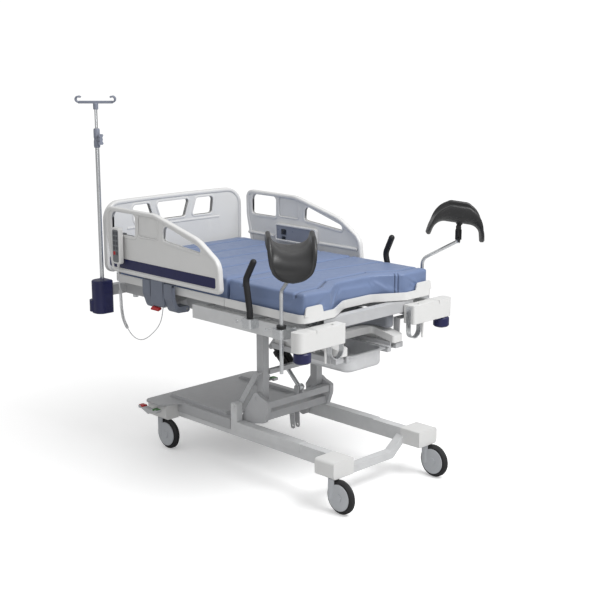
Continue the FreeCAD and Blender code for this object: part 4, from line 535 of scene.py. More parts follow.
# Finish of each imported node, by the longest listed start of its name
NODE_MATERIALS = {
    "base_frame": PALE_PAINT, "base_cover": GREY_ABS, "rail_covers": PALE_PAINT,
    "corner_caps": WHITE_ABS, "brake_bar": GREY_PAINT, "lift_arms": GREY_PAINT,
    "lift_links": GREY_PAINT, "lift_motor": BLACK_PLASTIC, "lift_rod": CHROME,
    "back_motor": BLACK_PLASTIC, "back_rod": CHROME, "upper_frame": GREY_PAINT,
    "side_beams": PALE_PAINT, "foot_arms": WHITE_ABS, "foot_hooks": STEEL,
    "corner_bumpers": NAVY_PLASTIC, "rail_clamps": STEEL, "seat_tray": WHITE_ABS,
    "seat_cushion": BLUE_VINYL, "back_carriage": GREY_PAINT, "backrest_frame": GREY_PAINT,
    "back_tray": WHITE_ABS, "back_cushion": BLUE_VINYL, "headboard": WHITE_ABS,
    "iv_lower_tube": STEEL, "iv_upper_tube": CHROME, "iv_knob": POLE_PLASTIC,
    "control_panel": SLATE_PLASTIC, "handset": GREY_ABS, "cord_tube": BLACK_PLASTIC,
    "cord_coil": BLACK_PLASTIC, "leg_section": WHITE_ABS, "leg_cushion": GREY_VINYL,
    "basin": BOWL_STEEL, "foot_roller": NAVY_PLASTIC, "side_rail": WHITE_ABS,
    "swing_arms": SLATE_PLASTIC, "release_handle": RED_PLASTIC, "grip": GRIP_VINYL,
    "leg_bush": BLACK_PLASTIC, "leg_rod": STEEL, "leg_joint": BLACK_PLASTIC,
    "leg_pad": BLACK_FOAM, "castor_fork": CASTOR_GREY, "castor_wheel": TYRE_RUBBER,
}
for node_name, node_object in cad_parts.items():
    key = max((k for k in NODE_MATERIALS if node_name.startswith(k)), key=len)
    for holder in node_object.material_slots:
        holder.material = NODE_MATERIALS[key]

# The cord is one tube that follows its route
cord_line = curly_line(route_line(CORD_ROUTE))
cord_mesh = tube_mesh("handset_cord", cord_line, CORD_RADIUS, 8)
cord_piece = add_piece("handset_cord", cord_mesh, "rail_near", CORD_JACKET,
                       ("cord_tube", "cord_coil"))


# Handset: body with a keypad, hung over the sill of the near rail
def handset_mesh():
    """Slots: body, keypad, red key, keys. Drawn on the far side, then mirrored."""
    x, back, front, sill = -712.0, 474.0, 500.0, 1068.0
    key_half_w, key_half_h, column_gap, row_pitch = 7.6, 8.6, 10.2, 24.0
    outline = rounded_box(x - 29.0, 930.0, x + 29.0, 1105.0, [12.0, 12.0, 15.0, 15.0])
    face = rounded_box(x - 23.0, 939.0, x + 22.0, 1094.0, 9.0)
    hook = rounded([
        (back + 1.0, sill - 30.0), (468.0, sill - 30.0), (468.0, sill + 1.0), (443.5, sill + 1.0),
        (443.5, sill - 12.0), (440.0, sill - 12.0), (440.0, sill + 5.0), (back + 1.0, sill + 5.0),
    ], 0.8)
    parts = [
        (plate([outline], back, front, "xz", 6.0, 4), 0),
        (plate([face], front - 3.0, front + 0.9, "xz", 0.6), 1),
        (plate([hook], x - 11.0, x + 11.0, "yz", 0.8), 3),
        (turned_mesh([(3.0, 914.0), (5.6, 914.5), (6.0, 918.0), (6.0, 934.0)], (x, 487.0, 0)), 0),
    ]
    for row in range(5):
        for column in (-1, 1):
            middle, z = x + column * column_gap, 1078.0 - row * row_pitch
            key = rounded_box(middle - key_half_w, z - key_half_h, middle + key_half_w, z + key_half_h, 3.5)
            red = row == 4 and column == -1
            parts.append((plate([key], front, front + 2.0, "xz", 0.8), 2 if red else 3))
    return flipped(joined("handset_body", parts))


add_piece("handset_body", handset_mesh(), "rail_near", [WHITE_ABS, KEYPAD, RED_PLASTIC, KEY_RUBBER],
          ("handset",))


# Control panel on the inner face of the far rail
def panel_mesh():
    """Slots: white frame, slate face, display, keys."""
    face = 432.0
    frame_line = rounded_box(-598.0, 948.0, -299.0, 1038.0, 16.0)
    parts = [
        (plate([frame_line, inset(frame_line, 10.0)], face - 4.0, 446.5, "xz", 3.6, 4), 0),
        (plate([inset(frame_line, 7.0)], face, 440.5, "xz", 0.8), 1),
    ]
    for x0, x1, z0, z1 in ((-551.0, -515.0, 984.0, 1012.0), (-547.0, -519.0, 956.0, 975.0)):
        window = rounded_box(x0, z0, x1, z1, 4.0)
        parts.append((plate([inset(window, -3.0), window], face - 1.6, face + 1.0, "xz", 0.7), 3))
        parts.append((plate([window], face - 0.8, face + 1.0, "xz", 0.3), 2))
    for x in (-470.0, -575.0):
        mark = rounded_box(x - 4.0, 1002.0, x + 4.0, 1010.0, 3.0)
        parts.append((plate([mark], face - 0.8, face + 1.0, "xz", 0.4), 3))
    return joined("panel_face", parts)


add_piece("panel_face", panel_mesh(), "rail_far", [WHITE_ABS, POLE_PLASTIC, DISPLAY, SLATE_PLASTIC],
          ("control_panel",))

# Infusion pole: steel tube with its collar, steel mast with the moulded tee
POLE_X, POLE_Y = -874.0, -470.0
pole = joined("iv_pole", [
    (turned_mesh([(9.6, 727.0), (10.0, 728.0), (10.0, 1470.0)], (POLE_X, POLE_Y, 0)), 0),
    (turned_mesh([(12.0, 1467.0), (14.6, 1469.0), (15.0, 1474.0), (15.0, 1500.0), (13.6, 1502.0),
                  (13.6, 1512.0), (15.0, 1514.0), (15.0, 1550.0), (13.0, 1557.0), (7.3, 1558.0)],
                 (POLE_X, POLE_Y, 0)), 1),
])
add_piece("iv_pole", pole, "bed", [STEEL, POLE_PLASTIC], ("iv_lower_tube",))


def tee_mesh():
    """Slots: mast, tee. Bar with two hooks at each end and a boss, turned by 45 degrees in plan."""
    top, hook_x, hook_r, wire_r = 1668.0, 80.0, 13.0, 0.0042
    bar = rounded_box(-84.0, top + 6.0, 84.0, top + 19.0, 5.0)
    parts = [(plate([bar], -6.0, 6.0, "xz", 3.0, 3), 1)]
    for side in (-1, 1):
        for lean in (-1, 1):
            curl = [Vector((side * (hook_x + hook_r * math.sin(a)), lean * (4.0 + 9.0 * math.sin(a / 2)),
                            top + 26.0 - hook_r * math.cos(a))) / 1000.0
                    for a in [math.pi * k / 12 * 1.25 for k in range(13)]]
            parts.append((tube_mesh("curl", curl, wire_r), 1))
    boss = [(10.0, top - 22.0), (12.0, top - 20.0), (12.5, top + 4.0), (9.0, top + 9.0)]
    parts.append((turned_mesh(boss, (0, 0, 0)), 1))
    mesh = joined("iv_mast", parts)
    stand = Matrix.Translation((POLE_X / 1000.0, POLE_Y / 1000.0, 0.0))
    mesh.transform(stand @ Matrix.Rotation(math.radians(45.0), 4, "Z"))
    rod = turned_mesh([(6.6, 961.0), (7.0, 962.0), (7.0, top)], (POLE_X, POLE_Y, 0))
    return joined("iv_mast", [(rod, 0), (mesh, 1)])


add_piece("iv_mast", tee_mesh(), "iv_mast", [CHROME, POLE_PLASTIC], ("iv_upper_tube",))

# Coloured foot pads on the ends of the brake levers
for colour_name, tip_colour, x0, x1 in (
    ("red", RED_PLASTIC, -697.0, -662.0), ("green", GREEN_PLASTIC, -590.0, -556.0),
):
    tips = [
        (box_mesh((x0, side * 392.0 - 14.0, 209.0), (x1, side * 392.0 + 14.0, 219.0), 3.0), 0)
        for side in (-1, 1)
    ]
    add_piece("brake_tips_" + colour_name, joined("tips", tips), "brake", tip_colour)

# Leg section pad: U-shaped moulded block
block_plan = rounded(
    [(65.0, -201.0), (426.0, -201.0), (426.0, -153.0), (297.0, -153.0), (297.0, 153.0),
     (426.0, 153.0), (426.0, 201.0), (65.0, 201.0)],
    [20.0, 20.0, 23.0, 60.0, 60.0, 23.0, 20.0, 20.0], 8,
)
block = plate([block_plan], 701.0, 762.3, "xy", 11.0, 5)
block_piece = add_piece("leg_block", block, "leg_rest", GREY_VINYL, ("leg_cushion",))

# Side rails: rounded rim, sunk panel, framed windows, blank recess and stripe
SAFE_IN, SAFE_OUT = 440.0, 468.0
SAFE_OUTLINE = rounded(
    [(-834.0, 1193.0), (-463.0, 1190.0), (-150.0, 1110.0), (-12.0, 1022.0),
     (-2.0, 882.0), (-790.0, 882.0), (-831.0, 1060.0)],
    [42.0, 240.0, 260.0, 80.0, 22.0, 24.0, 160.0], 10,
)
WINDOW = rounded_box(-788.0, 1068.0, -605.0, 1172.0, [16.0, 16.0, 20.0, 30.0])
RECESS = rounded([(-583.0, 1075.0), (-439.0, 1075.0), (-439.0, 1170.0), (-583.0, 1172.0)], 14.0)
LONG_WINDOW = rounded([(-398.0, 1074.0), (-98.0, 1045.0), (-150.0, 1078.0), (-392.0, 1148.0)],
                      [14.0, 12.0, 60.0, 24.0], 10)
STRIPE = rounded_box(-812.0, 905.0, -38.0, 952.0, 9.0)
LATCH = rounded_box(-501.0, 762.0, -403.0, 884.0, [12.0, 12.0, 2.0, 2.0])


def rail_mesh():
    """Far rail; the near one is its mirror. Slots: white, navy, slate."""
    rim_inner = inset(SAFE_OUTLINE, 19.0)
    panel = inset(SAFE_OUTLINE, 10.0)
    rim = plate([SAFE_OUTLINE, rim_inner], SAFE_IN, SAFE_OUT, "xz", 7.5, 4)
    sheet = plate([panel, WINDOW, LONG_WINDOW, RECESS], SAFE_IN + 6.0, SAFE_OUT - 6.0, "xz", 2.5)
    for x in (-560.0, -400.0):
        # Room for the swing arms when the rail is down
        corners = (x - 3.0, SAFE_IN - 1.0, 880.0), (x + 59.0, SAFE_OUT - 9.0, 896.0)
        rim, sheet = carved(rim, *corners), carved(sheet, *corners)
    parts = [
        (rim, 0),
        (sheet, 0),
        (plate([inset(RECESS, -3.0)], SAFE_IN + 9.0, SAFE_OUT - 9.5, "xz", 1.0), 0),
        (plate([STRIPE], SAFE_OUT - 8.0, SAFE_OUT - 3.6, "xz", 1.4), 1),
        (plate([LATCH], SAFE_OUT - 26.0, SAFE_OUT - 2.0, "xz", 5.0), 2),
    ]
    for hole, width in ((WINDOW, 15.0), (LONG_WINDOW, 12.0), (RECESS, 7.0)):
        parts.append((plate([inset(hole, -width), hole], SAFE_IN + 3.0, SAFE_OUT - 3.0, "xz", 3.4, 4), 0))
    for ends in ((-812.0, -612.0), (-285.0, -30.0)):
        # Moulded roll along the inner face, broken by the control panel
        roll = [Vector((x, SAFE_IN + 5.0, 967.0)) / 1000.0 for x in ends]
        parts.append((tube_mesh("roll", resample(roll, 0.05), 0.008, 14), 0))
    return joined("side_rail", parts)


far_rail = rail_mesh()
for side_name, rail in (("far", far_rail), ("near", flipped(far_rail))):
    add_piece("rail_shell_" + side_name, rail, "rail_" + side_name,
              [WHITE_ABS, NAVY_PLASTIC, SLATE_PLASTIC], ("side_rail_" + side_name,))

# Headboard: rim, sunk inner panel, framed openings, ledge; bent in plan
HEAD_X, HEAD_T, HEAD_HALF, HEAD_CURVE = -895.0, 32.0, 440.0, 30.0
HEAD_LOW, HEAD_TOP = 856.0, 1203.0
HOLE_LOW, HOLE_HIGH = 1080.0, 1168.0
POST_X, POST_Y = -902.0, 250.0
BEND_CUTS, BEND_CUT_GAP = 10, 0.042  # cuts on each side of the middle, and metres between them


def bent_in_plan(mesh):
    """Bring the ends of a flat board forward along a parabola."""
    shape = opened(mesh)
    for step in range(-BEND_CUTS, BEND_CUTS + 1):
        bmesh.ops.bisect_plane(
            shape, geom=shape.verts[:] + shape.edges[:] + shape.faces[:],
            plane_co=(0, step * BEND_CUT_GAP, 0), plane_no=(0, 1, 0),
        )
    for vert in shape.verts:
        vert.co.x += HEAD_CURVE / 1000.0 * (vert.co.y / (HEAD_HALF / 1000.0)) ** 2
    return smooth(written(shape, mesh), 30.0)


def headboard_mesh():
    """Slots: white board, steel posts, slate collars."""
    outline = rounded_box(-HEAD_HALF, HEAD_LOW, HEAD_HALF, HEAD_TOP, [44.0, 44.0, 90.0, 90.0], 10)
    middle = rounded([(-76.0, HOLE_LOW), (76.0, HOLE_LOW), (106.0, HOLE_HIGH), (-106.0, HOLE_HIGH)], 14.0)
    side = [(124.0, HOLE_LOW), (252.0, HOLE_LOW), (262.0, HOLE_HIGH), (154.0, HOLE_HIGH)]
    right = rounded(side, [14.0, 18.0, 18.0, 14.0])
    left = rounded([(-y, z) for y, z in reversed(side)], [14.0, 18.0, 18.0, 14.0])
    front, back = HEAD_X, HEAD_X - HEAD_T
    holes = [middle, right, left]
    parts = [
        plate([outline, inset(outline, 20.0)], back, front, "yz", 8.5, 4),
        plate([inset(outline, 10.0)] + holes, back + 6.0, front - 6.0, "yz", 2.0),
    ]
    for hole in holes:
        parts.append(plate([inset(hole, -11.0), hole], back + 3.5, front - 3.5, "yz", 3.2, 4))
    ledge = rounded_box(-300.0, 1052.0, 300.0, 1062.0, 4.0)
    parts.append(plate([ledge], back + 4.5, front - 3.0, "yz", 2.4))
    board = [(bent_in_plan(part), 0) for part in parts]
    post = [(13.0, 704.0), (14.0, 706.0), (14.0, HEAD_LOW + 14.0)]
    collar = [(19.0, 791.0), (20.0, 792.5), (20.0, 803.0), (17.0, 806.0)]
    for foot in ((POST_X, -POST_Y, 0.0), (POST_X, POST_Y, 0.0)):
        board += [(turned_mesh(post, foot), 1), (turned_mesh(collar, foot), 2)]
    return joined("headboard", board)


add_piece("headboard_shell", headboard_mesh(), "headboard", [WHITE_ABS, STEEL, SLATE_PLASTIC],
          ("headboard",))


# Mattress: coated foam cushions, swollen by a short cloth run, then the sewn channels
CUSHION_LOW, CUSHION_TOP, CUSHION_HALF = 830.6, 947.0, 408.0
SKIN_VOXEL = 7.0
SWELL_CAP, SWELL_PRESSURE, HELD_BELOW = 3.5, 4.0, CUSHION_LOW + 22.0
CHANNEL_DEPTH, CHANNEL_WIDTH = 8.5, 11.0
PLEAT_DEPTH, PLEAT_WIDTH = 4.5, 4.0
# In widths of a groove: how far from its seam it bends the skin, and where the skin is cut for it
GROOVE_REACH, GROOVE_CUTS = 2.6, (-2.2, -1.1, -0.45, 0.0, 0.45, 1.1, 2.2)


def cushion_plan(head_x, foot_x, cutout):
    """Plan of a cushion; with a cut-out the foot edge runs in as a shallow bay."""
    half = CUSHION_HALF
    if not cutout:
        return rounded_box(head_x, -half, foot_x, half, [42.0, 5.0, 5.0, 42.0], 8)
    pairs = [
        (head_x, -half), (foot_x, -half), (foot_x, -238.0), (foot_x - 84.0, -118.0),
        (foot_x - 84.0, 118.0), (foot_x, 238.0), (foot_x, half), (head_x, half),
    ]
    return rounded(pairs, [5.0, 18.0, 15.0, 110.0, 110.0, 15.0, 18.0, 5.0], 10)


def swollen(mesh):
    """Blow the pad up with a short cloth run; no point moves further than the cap."""
    start = [vert.co.copy() for vert in mesh.vertices]
    holder = linked("cloth", mesh)
    cloth = holder.modifiers.new("cloth", "CLOTH")
    cloth.settings.use_pressure = True
    cloth.settings.uniform_pressure_force = SWELL_PRESSURE
    cloth.settings.effector_weights.gravity = 0.0
    cloth.settings.quality = 4
    held = holder.vertex_groups.new(name="held")
    low = [vert.index for vert in mesh.vertices if vert.co.z < HELD_BELOW / 1000.0]
    held.add(low, 1.0, "REPLACE")
    cloth.settings.vertex_group_mass = "held"
    for tick in range(1, 21):
        scene.frame_set(tick)
    mesh = evaluated(holder)
    scene.frame_set(1)
    cap = SWELL_CAP / 1000.0
    for vert, place in zip(mesh.vertices, start):
        shift = vert.co - place
        if shift.length > cap:
            vert.co = place + shift * (cap / shift.length)
    return mesh


def press(shape, inside, plane, across, depth_mm, width_mm, ends):
    """Press a sewn groove along a plane into the skin where inside() holds; ends() fades it. It also stores a
    painted shade mask along the groove for the cover's colour.
    """
    # Painted shade mask: strongest at the middle of each groove, it darkens the cover there
    painted_groove_shade = shape.verts.layers.float.get("painted_groove_shade") or shape.verts.layers.float.new("painted_groove_shade")
    reach = GROOVE_REACH * width_mm / 1000.0
    for offset in GROOVE_CUTS:
        faces = [
            face for face in shape.faces
            if inside(face.calc_center_median())
            and abs((face.calc_center_median() - plane).dot(across)) < reach + 0.012
        ]
        edges = {edge for face in faces for edge in face.edges}
        verts = {vert for face in faces for vert in face.verts}
        bmesh.ops.bisect_plane(
            shape, geom=list(faces) + list(edges) + list(verts), dist=1e-5,
            plane_co=plane + across * offset * width_mm / 1000.0, plane_no=across,
        )
    shape.normal_update()
    for vert in shape.verts:
        share = abs((vert.co - plane).dot(across)) * 1000.0 / width_mm
        if share > GROOVE_REACH or not inside(vert.co):
            continue
        fade = ends(vert.co)
        # Painted shade: mark the groove's middle dark, as the shade in the crease would be
        vert[painted_groove_shade] = max(vert[painted_groove_shade], math.exp(-share * share * 5.0) * fade)
        vert.co -= vert.normal * depth_mm / 1000.0 * math.exp(-share * share * 1.6) * fade


def channel(shape, start, end):
    """Sewn channel along a line on the top."""
    start, end = Vector((*start, CUSHION_TOP)) / 1000.0, Vector((*end, CUSHION_TOP)) / 1000.0
    along = (end - start).normalized()
    length = (end - start).length
    top_z = (CUSHION_TOP - 26.0) / 1000.0

    def inside(place):
        return place.z > top_z and -0.004 < (place - start).dot(along) < length + 0.004

    def ends(place):
        run = (place - start).dot(along)
        return min(1.0, max(0.0, run) / 0.006, max(0.0, length - run) / 0.006)

    press(shape, inside, start, Vector((-along.y, along.x, 0.0)), CHANNEL_DEPTH, CHANNEL_WIDTH, ends)


def pleat(shape, place, along):
    """Vertical pleat on a side face."""
    place, along = Vector(place) / 1000.0, Vector(along).normalized()
    outward = along.cross(Vector((0.0, 0.0, 1.0)))

    def inside(point):
        return abs((point - place).dot(outward)) < 0.02

    def ends(point):
        return min(1.0, max(0.0, point.z - (CUSHION_LOW + 6.0) / 1000.0) / 0.02)

    press(shape, inside, place, along, PLEAT_DEPTH, PLEAT_WIDTH, ends)


def cushion(name, node, body, plan, grooves, pleats=()):
    """Foam block with a sewn cover; slightly smaller before it swells."""
    mesh = plate([inset(plan, 2.5)], CUSHION_LOW, CUSHION_TOP - 3.0, "xy", 7.0, 4)
    mesh = modified(mesh, "REMESH", mode="VOXEL", voxel_size=SKIN_VOXEL / 1000.0)
    mesh = modified(swollen(mesh), "SUBSURF", levels=1, render_levels=1)
    shape = opened(mesh)
    for start, end in grooves:
        channel(shape, start, end)
    for place, along in pleats:
        pleat(shape, place, along)
    low, high = CUSHION_LOW / 1000.0, (CUSHION_TOP + 3.0) / 1000.0
    for vert in shape.verts:
        vert.co.z = min(high, max(low, vert.co.z))
    written(shape, mesh)
    mesh.name = name
    mesh.materials.clear()
    smooth(mesh, 180.0)
    piece = add_piece(name, mesh, body, BLUE_VINYL, (node,))


cushion(
    "back_mattress", "back_cushion", "back", cushion_plan(-838.0, -27.0, False),
    [((-752.0, -412.0), (-722.0, 412.0)), ((-562.0, -412.0), (-545.0, 412.0)),
     ((-405.0, -412.0), (-398.0, 412.0)), ((-225.0, -412.0), (-225.0, 412.0))],
)
BAY_LINE = [(394.0, -412.0), (394.0, -262.0), (310.0, -132.0), (310.0, 132.0), (394.0, 262.0), (394.0, 412.0)]
cushion(
    "seat_mattress", "seat_cushion", "bed", cushion_plan(-21.0, 449.0, True),
    [((66.0, -412.0), (199.0, 412.0)), *zip(BAY_LINE, BAY_LINE[1:])],
    [((432.0, 213.0, 890.0), (84.0, 120.0, 0.0)), ((422.5, 199.5, 890.0), (84.0, 120.0, 0.0))],
)


# Leg pads: moulded foam troughs whose ends bend down to a tongue
PAD_HALF_W, PAD_DEPTH, PAD_WALL = 97.0, 80.0, 22.0
PAD_STRAIGHT, PAD_BEND_R, PAD_DROOP, PAD_TONGUE = 58.0, 50.0, 78.0, 38.0
PAD_YAW, PAD_TILT, PAD_SHIFT = 40.0, 8.0, -10.0
WALL_STEPS, RIM_STEPS = 30, 8
TILT_Z = 1122.0
UNDER_Z = TILT_Z + 20.0
JOINT_PLACES = {"near": (541.43, -569.98), "far": (486.43, 569.98)}


def eased(share):
    """Soft start and soft end between 0 and 1."""
    return share * share * (3.0 - 2.0 * share)


def pad_station(distance):
    """Path point, angle, shares of full width and depth, and how far the hollow is filled."""
    bend = math.radians(PAD_DROOP) * PAD_BEND_R
    if distance <= PAD_STRAIGHT:
        end = max(0.0, (distance - PAD_STRAIGHT + 24.0) / 24.0)
        return distance, 0.0, 0.0, 1.0, 1.0 - 0.12 * end * end, 0.0
    turn = min(1.0, (distance - PAD_STRAIGHT) / bend)
    angle = math.radians(PAD_DROOP) * turn
    x = PAD_STRAIGHT + PAD_BEND_R * math.sin(angle)
    z = -PAD_BEND_R * (1 - math.cos(angle))
    rest = max(0.0, distance - PAD_STRAIGHT - bend)
    x += rest * math.cos(angle)
    z -= rest * math.sin(angle)
    run = (distance - PAD_STRAIGHT) / (bend + PAD_TONGUE)
    width = max(0.0, 1.0 - run ** 2.3) ** 0.5
    depth = 0.88 - 0.60 * math.sin(min(1.0, turn * 1.1) * math.pi / 2.0) - 0.05 * run
    return x, z, angle, width, depth, eased(min(1.0, turn * 1.2))


def pad_ring(distance, side, squeeze):
    """Closed section square to the path: a U that fills up into a lens towards the end."""
    x, z, angle, width, depth, fill = pad_station(distance)
    half = max(6.0, PAD_HALF_W * width)
    height = PAD_DEPTH * depth
    wall = min(PAD_WALL, height * 0.75, half * 0.6)
    inner = half - wall * 0.85
    floor = min(PAD_WALL, half * 0.6)
    power = 2.0 / 2.1
    section = []
    for k in range(WALL_STEPS + 1):
        theta = -math.pi / 2 + math.pi * k / WALL_STEPS
        across = math.copysign(abs(math.sin(theta)) ** power, theta)
        section.append((half * across, height * (1.0 - abs(math.cos(theta)) ** power)))
    mid, reach = (half + inner) / 2, (half - inner) / 2
    crest = wall * (0.40 - 0.34 * fill)
    turns = [math.pi * k / RIM_STEPS for k in range(1, RIM_STEPS)]
    rim = [(reach * math.cos(turn), height + crest * math.sin(turn)) for turn in turns]
    section += [(mid + across, rise) for across, rise in rim]
    for k in range(WALL_STEPS + 1):
        theta = math.pi / 2 - math.pi * k / WALL_STEPS
        across = math.copysign(abs(math.sin(theta)) ** power, theta)
        hollow = floor + (height - floor) * (1.0 - abs(math.cos(theta)) ** power)
        dome = height + (floor + 3.0 - height) * math.cos(theta)
        section.append((inner * across, hollow + (dome - hollow) * fill))
    section += [(across - mid, rise) for across, rise in rim]
    centre_h = height * 0.6 * fill + floor * 0.5 * (1.0 - fill)
    up = Vector((side * math.sin(angle), 0.0, math.cos(angle)))
    ring = []
    for across, rise in section:
        across *= squeeze
        rise = centre_h + (rise - centre_h) * squeeze
        ring.append(Vector((side * x, across, z)) + up * rise)
    return ring


def saddle_mesh(side_name):
    """One leg pad, on the joint of its own side."""
    bend = math.radians(PAD_DROOP) * PAD_BEND_R
    total = PAD_STRAIGHT + bend + PAD_TONGUE
    round_end = 11.0
    stops = [(PAD_STRAIGHT * k / 7, 1.0) for k in range(7)]
    stops += [(PAD_STRAIGHT + bend * k / 12, 1.0) for k in range(13)]
    stops += [(PAD_STRAIGHT + bend + (PAD_TONGUE - round_end) * k / 4, 1.0) for k in range(1, 5)]
    for k in range(1, 8):
        share = k / 7
        distance = total - round_end + round_end * math.sin(share * math.pi / 2)
        stops.append((distance, math.cos(share * math.pi / 2.12)))
    rings = [pad_ring(d, -1, q) for d, q in reversed(stops[1:])] + [pad_ring(d, 1, q) for d, q in stops]
    mesh = skinned("leg_pad_" + side_name, rings)
    centre = Vector((*JOINT_PLACES[side_name], 0.0))
    side = -1.0 if side_name == "near" else 1.0
    boss = turned_mesh([(12.0, -7.5), (13.5, -6.5), (17.0, -1.0), (25.0, 6.0)], (0, 0, 0))
    lug = plate([rounded([(-9.0, -28.0), (9.0, -28.0), (11.0, -6.0), (-11.0, -6.0)], [8.5, 8.5, 0, 0])],
                -4.6, 4.6, "xz", 0.8)
    place = Matrix.Translation(centre + Vector((0, 0, TILT_Z)))
    place = place @ Matrix.Rotation(math.radians(side * PAD_YAW), 4, "Z")
    place = place @ Matrix.Rotation(math.radians(PAD_TILT), 4, "Y")
    lift = Matrix.Translation((PAD_SHIFT, 0, UNDER_Z - TILT_Z))
    metres = Matrix.Scale(0.001, 4)
    mesh.transform(metres @ place @ lift)
    fit = metres @ place @ Matrix.Translation((0, 0, UNDER_Z - TILT_Z)) @ Matrix.Scale(1000.0, 4)
    for part in (boss, lug):
        part.transform(fit)
    return joined("leg_pad_" + side_name, [(tidy(mesh, 60.0), 0), (boss, 1), (lug, 1)])


for side_name in ("near", "far"):
    pad_piece = add_piece("leg_saddle_" + side_name, saddle_mesh(side_name), "leg_pad_" + side_name,
                          [BLACK_FOAM, BLACK_PLASTIC], ("leg_pad_" + side_name,))


def screw_tree(finish):
    """Node tree that stands a washer and a cap head on every point."""
    tree = bpy.data.node_groups.new("cap_screws", "GeometryNodeTree")
    for label, way, kind in (
        ("Places", "INPUT", "NodeSocketGeometry"), ("Head radius", "INPUT", "NodeSocketFloat"),
        ("Head height", "INPUT", "NodeSocketFloat"), ("Washer height", "INPUT", "NodeSocketFloat"),
        ("Screws", "OUTPUT", "NodeSocketGeometry"),
    ):
        tree.interface.new_socket(label, in_out=way, socket_type=kind)
    given = add_node(tree, "NodeGroupInput").outputs
    washer_radius = add_node(
        tree, "ShaderNodeMath", {0: given["Head radius"], 1: 1.4}, operation="MULTIPLY",
    ).outputs[0]
    screw = add_node(tree, "GeometryNodeJoinGeometry")
    for radius, height in (
        (given["Head radius"], given["Head height"]), (washer_radius, given["Washer height"]),
    ):
        part = add_node(
            tree, "GeometryNodeMeshCylinder", {"Vertices": 20, "Radius": radius, "Depth": height},
        ).outputs["Mesh"]
        tree.links.new(part, screw.inputs["Geometry"])
    placed = add_node(
        tree, "GeometryNodeInstanceOnPoints",
        {"Points": given["Places"], "Instance": screw.outputs["Geometry"],
         "Rotation": (math.pi / 2, 0.0, 0.0)},
    ).outputs["Instances"]
    real = add_node(tree, "GeometryNodeRealizeInstances", {"Geometry": placed}).outputs["Geometry"]
    done = add_node(
        tree, "GeometryNodeSetMaterial", {"Geometry": real, "Material": finish},
    ).outputs["Geometry"]
    add_node(tree, "NodeGroupOutput", {"Screws": done})
    return tree


# Cap screws on the side beams' outer faces
screw_places = bpy.data.meshes.new("beam_screws")
screw_places.from_pydata([
    (x / 1000.0, side * 0.4300, z / 1000.0) for side in (-1, 1)
    for x, z in ((64.0, 773.0), (97.0, 779.0), (248.0, 766.0), (272.0, 773.0), (294.0, 768.0))
], [], [])
screw_holder = linked("screw_places", screw_places)
screw_nodes = screw_holder.modifiers.new("cap_screws", "NODES")
screw_nodes.node_group = screw_tree(CHROME)
screw_sizes = {"Head radius": 0.0052, "Head height": 0.0084, "Washer height": 0.0024}
for entry in screw_nodes.node_group.interface.items_tree:
    if entry.name in screw_sizes:
        screw_nodes[entry.identifier] = screw_sizes[entry.name]
add_piece("beam_screws", smooth(evaluated(screw_holder)), "bed", [])


# Light and ground
world = bpy.data.worlds.new("studio")
scene.world = world
world.use_nodes = True
sky = world.node_tree
background = sky.nodes["Background"]
# The camera sees white; light and reflections come from a sky that fades to the ground
direction = add_node(sky, "ShaderNodeTexCoord").outputs["Generated"]
height = add_node(sky, "ShaderNodeSeparateXYZ", {"Vector": direction}).outputs["Z"]
level = add_node(
    sky, "ShaderNodeMapRange",
    {"Value": height, "From Min": -0.35, "From Max": 0.75, "To Min": 0.2, "To Max": 0.76},
).outputs["Result"]
seen = add_node(sky, "ShaderNodeLightPath").outputs["Is Camera Ray"]
strength = add_node(
    sky, "ShaderNodeMix", {"Factor": seen, "A": level, "B": 1.05}, data_type="FLOAT",
).outputs["Result"]
sky.links.new(strength, background.inputs["Strength"])
background.inputs["Color"].default_value = (1.0, 1.0, 1.0, 1.0)


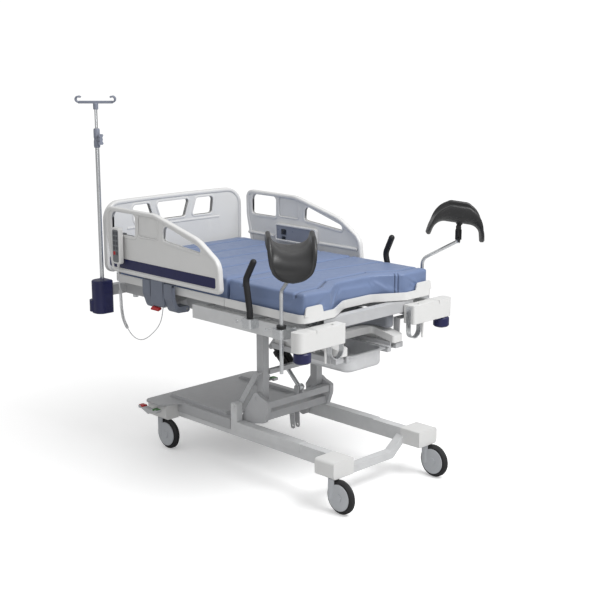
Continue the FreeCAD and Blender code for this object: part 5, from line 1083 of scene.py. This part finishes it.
def area_light(name, place, target, size, power):
    """Rectangular lamp in metres and watts that faces a target."""
    data = bpy.data.lights.new(name, "AREA")
    data.shape = "RECTANGLE"
    data.size, data.size_y = size
    data.energy = power
    lamp = linked(name, data)
    lamp.location = place
    aim = Vector(target) - Vector(place)
    lamp.rotation_euler = aim.to_track_quat("-Z", "Y").to_euler()


area_light("key", (2.7, 0.5, 3.8), (0.0, 0.0, 0.6), (2.2, 2.2), 118.0)
area_light("fill", (3.4, -3.8, 1.3), (0.2, 0.0, 0.75), (1.6, 0.9), 16.0)

# Floor: white, it only takes the soft shadow of the bed
FLOOR = bpy.data.materials.new("floor_white")
FLOOR.use_nodes = True
ground = FLOOR.node_tree
place = add_node(ground, "ShaderNodeNewGeometry").outputs["Position"]
distance = add_node(ground, "ShaderNodeVectorMath", {0: place}, operation="LENGTH").outputs["Value"]
faded = add_node(
    ground, "ShaderNodeMapRange",
    {"Value": distance, "From Min": 1.1, "From Max": 2.4, "To Min": 0.0, "To Max": 1.0},
    interpolation_type="SMOOTHSTEP",
).outputs["Result"]
matt = add_node(ground, "ShaderNodeBsdfDiffuse", {"Color": (0.95, 0.95, 0.95, 1.0)}).outputs[0]
glow = add_node(ground, "ShaderNodeEmission", {"Strength": 0.26}).outputs[0]
near_bed = add_node(ground, "ShaderNodeAddShader", {0: matt, 1: glow}).outputs[0]
white = add_node(ground, "ShaderNodeEmission", {"Strength": 1.05}).outputs[0]
floor_mix = add_node(ground, "ShaderNodeMixShader", {0: faded, 1: near_bed, 2: white}).outputs[0]
dull = add_node(ground, "ShaderNodeBsdfDiffuse", {"Color": (0.62, 0.62, 0.62, 1.0)}).outputs[0]
looked_at = add_node(ground, "ShaderNodeLightPath").outputs["Is Camera Ray"]
floor_mix = add_node(ground, "ShaderNodeMixShader", {0: looked_at, 1: dull, 2: floor_mix}).outputs[0]
ground.links.new(floor_mix, ground.nodes["Material Output"].inputs["Surface"])
floor_mesh = bpy.data.meshes.new("floor")
reach = 14.0
floor_mesh.from_pydata(
    [(x * reach, y * reach, 0.0) for x, y in ((-1, -1), (1, -1), (1, 1), (-1, 1))], [], [(0, 1, 2, 3)],
)
floor_mesh.materials.append(FLOOR)
floor = linked("floor", floor_mesh)
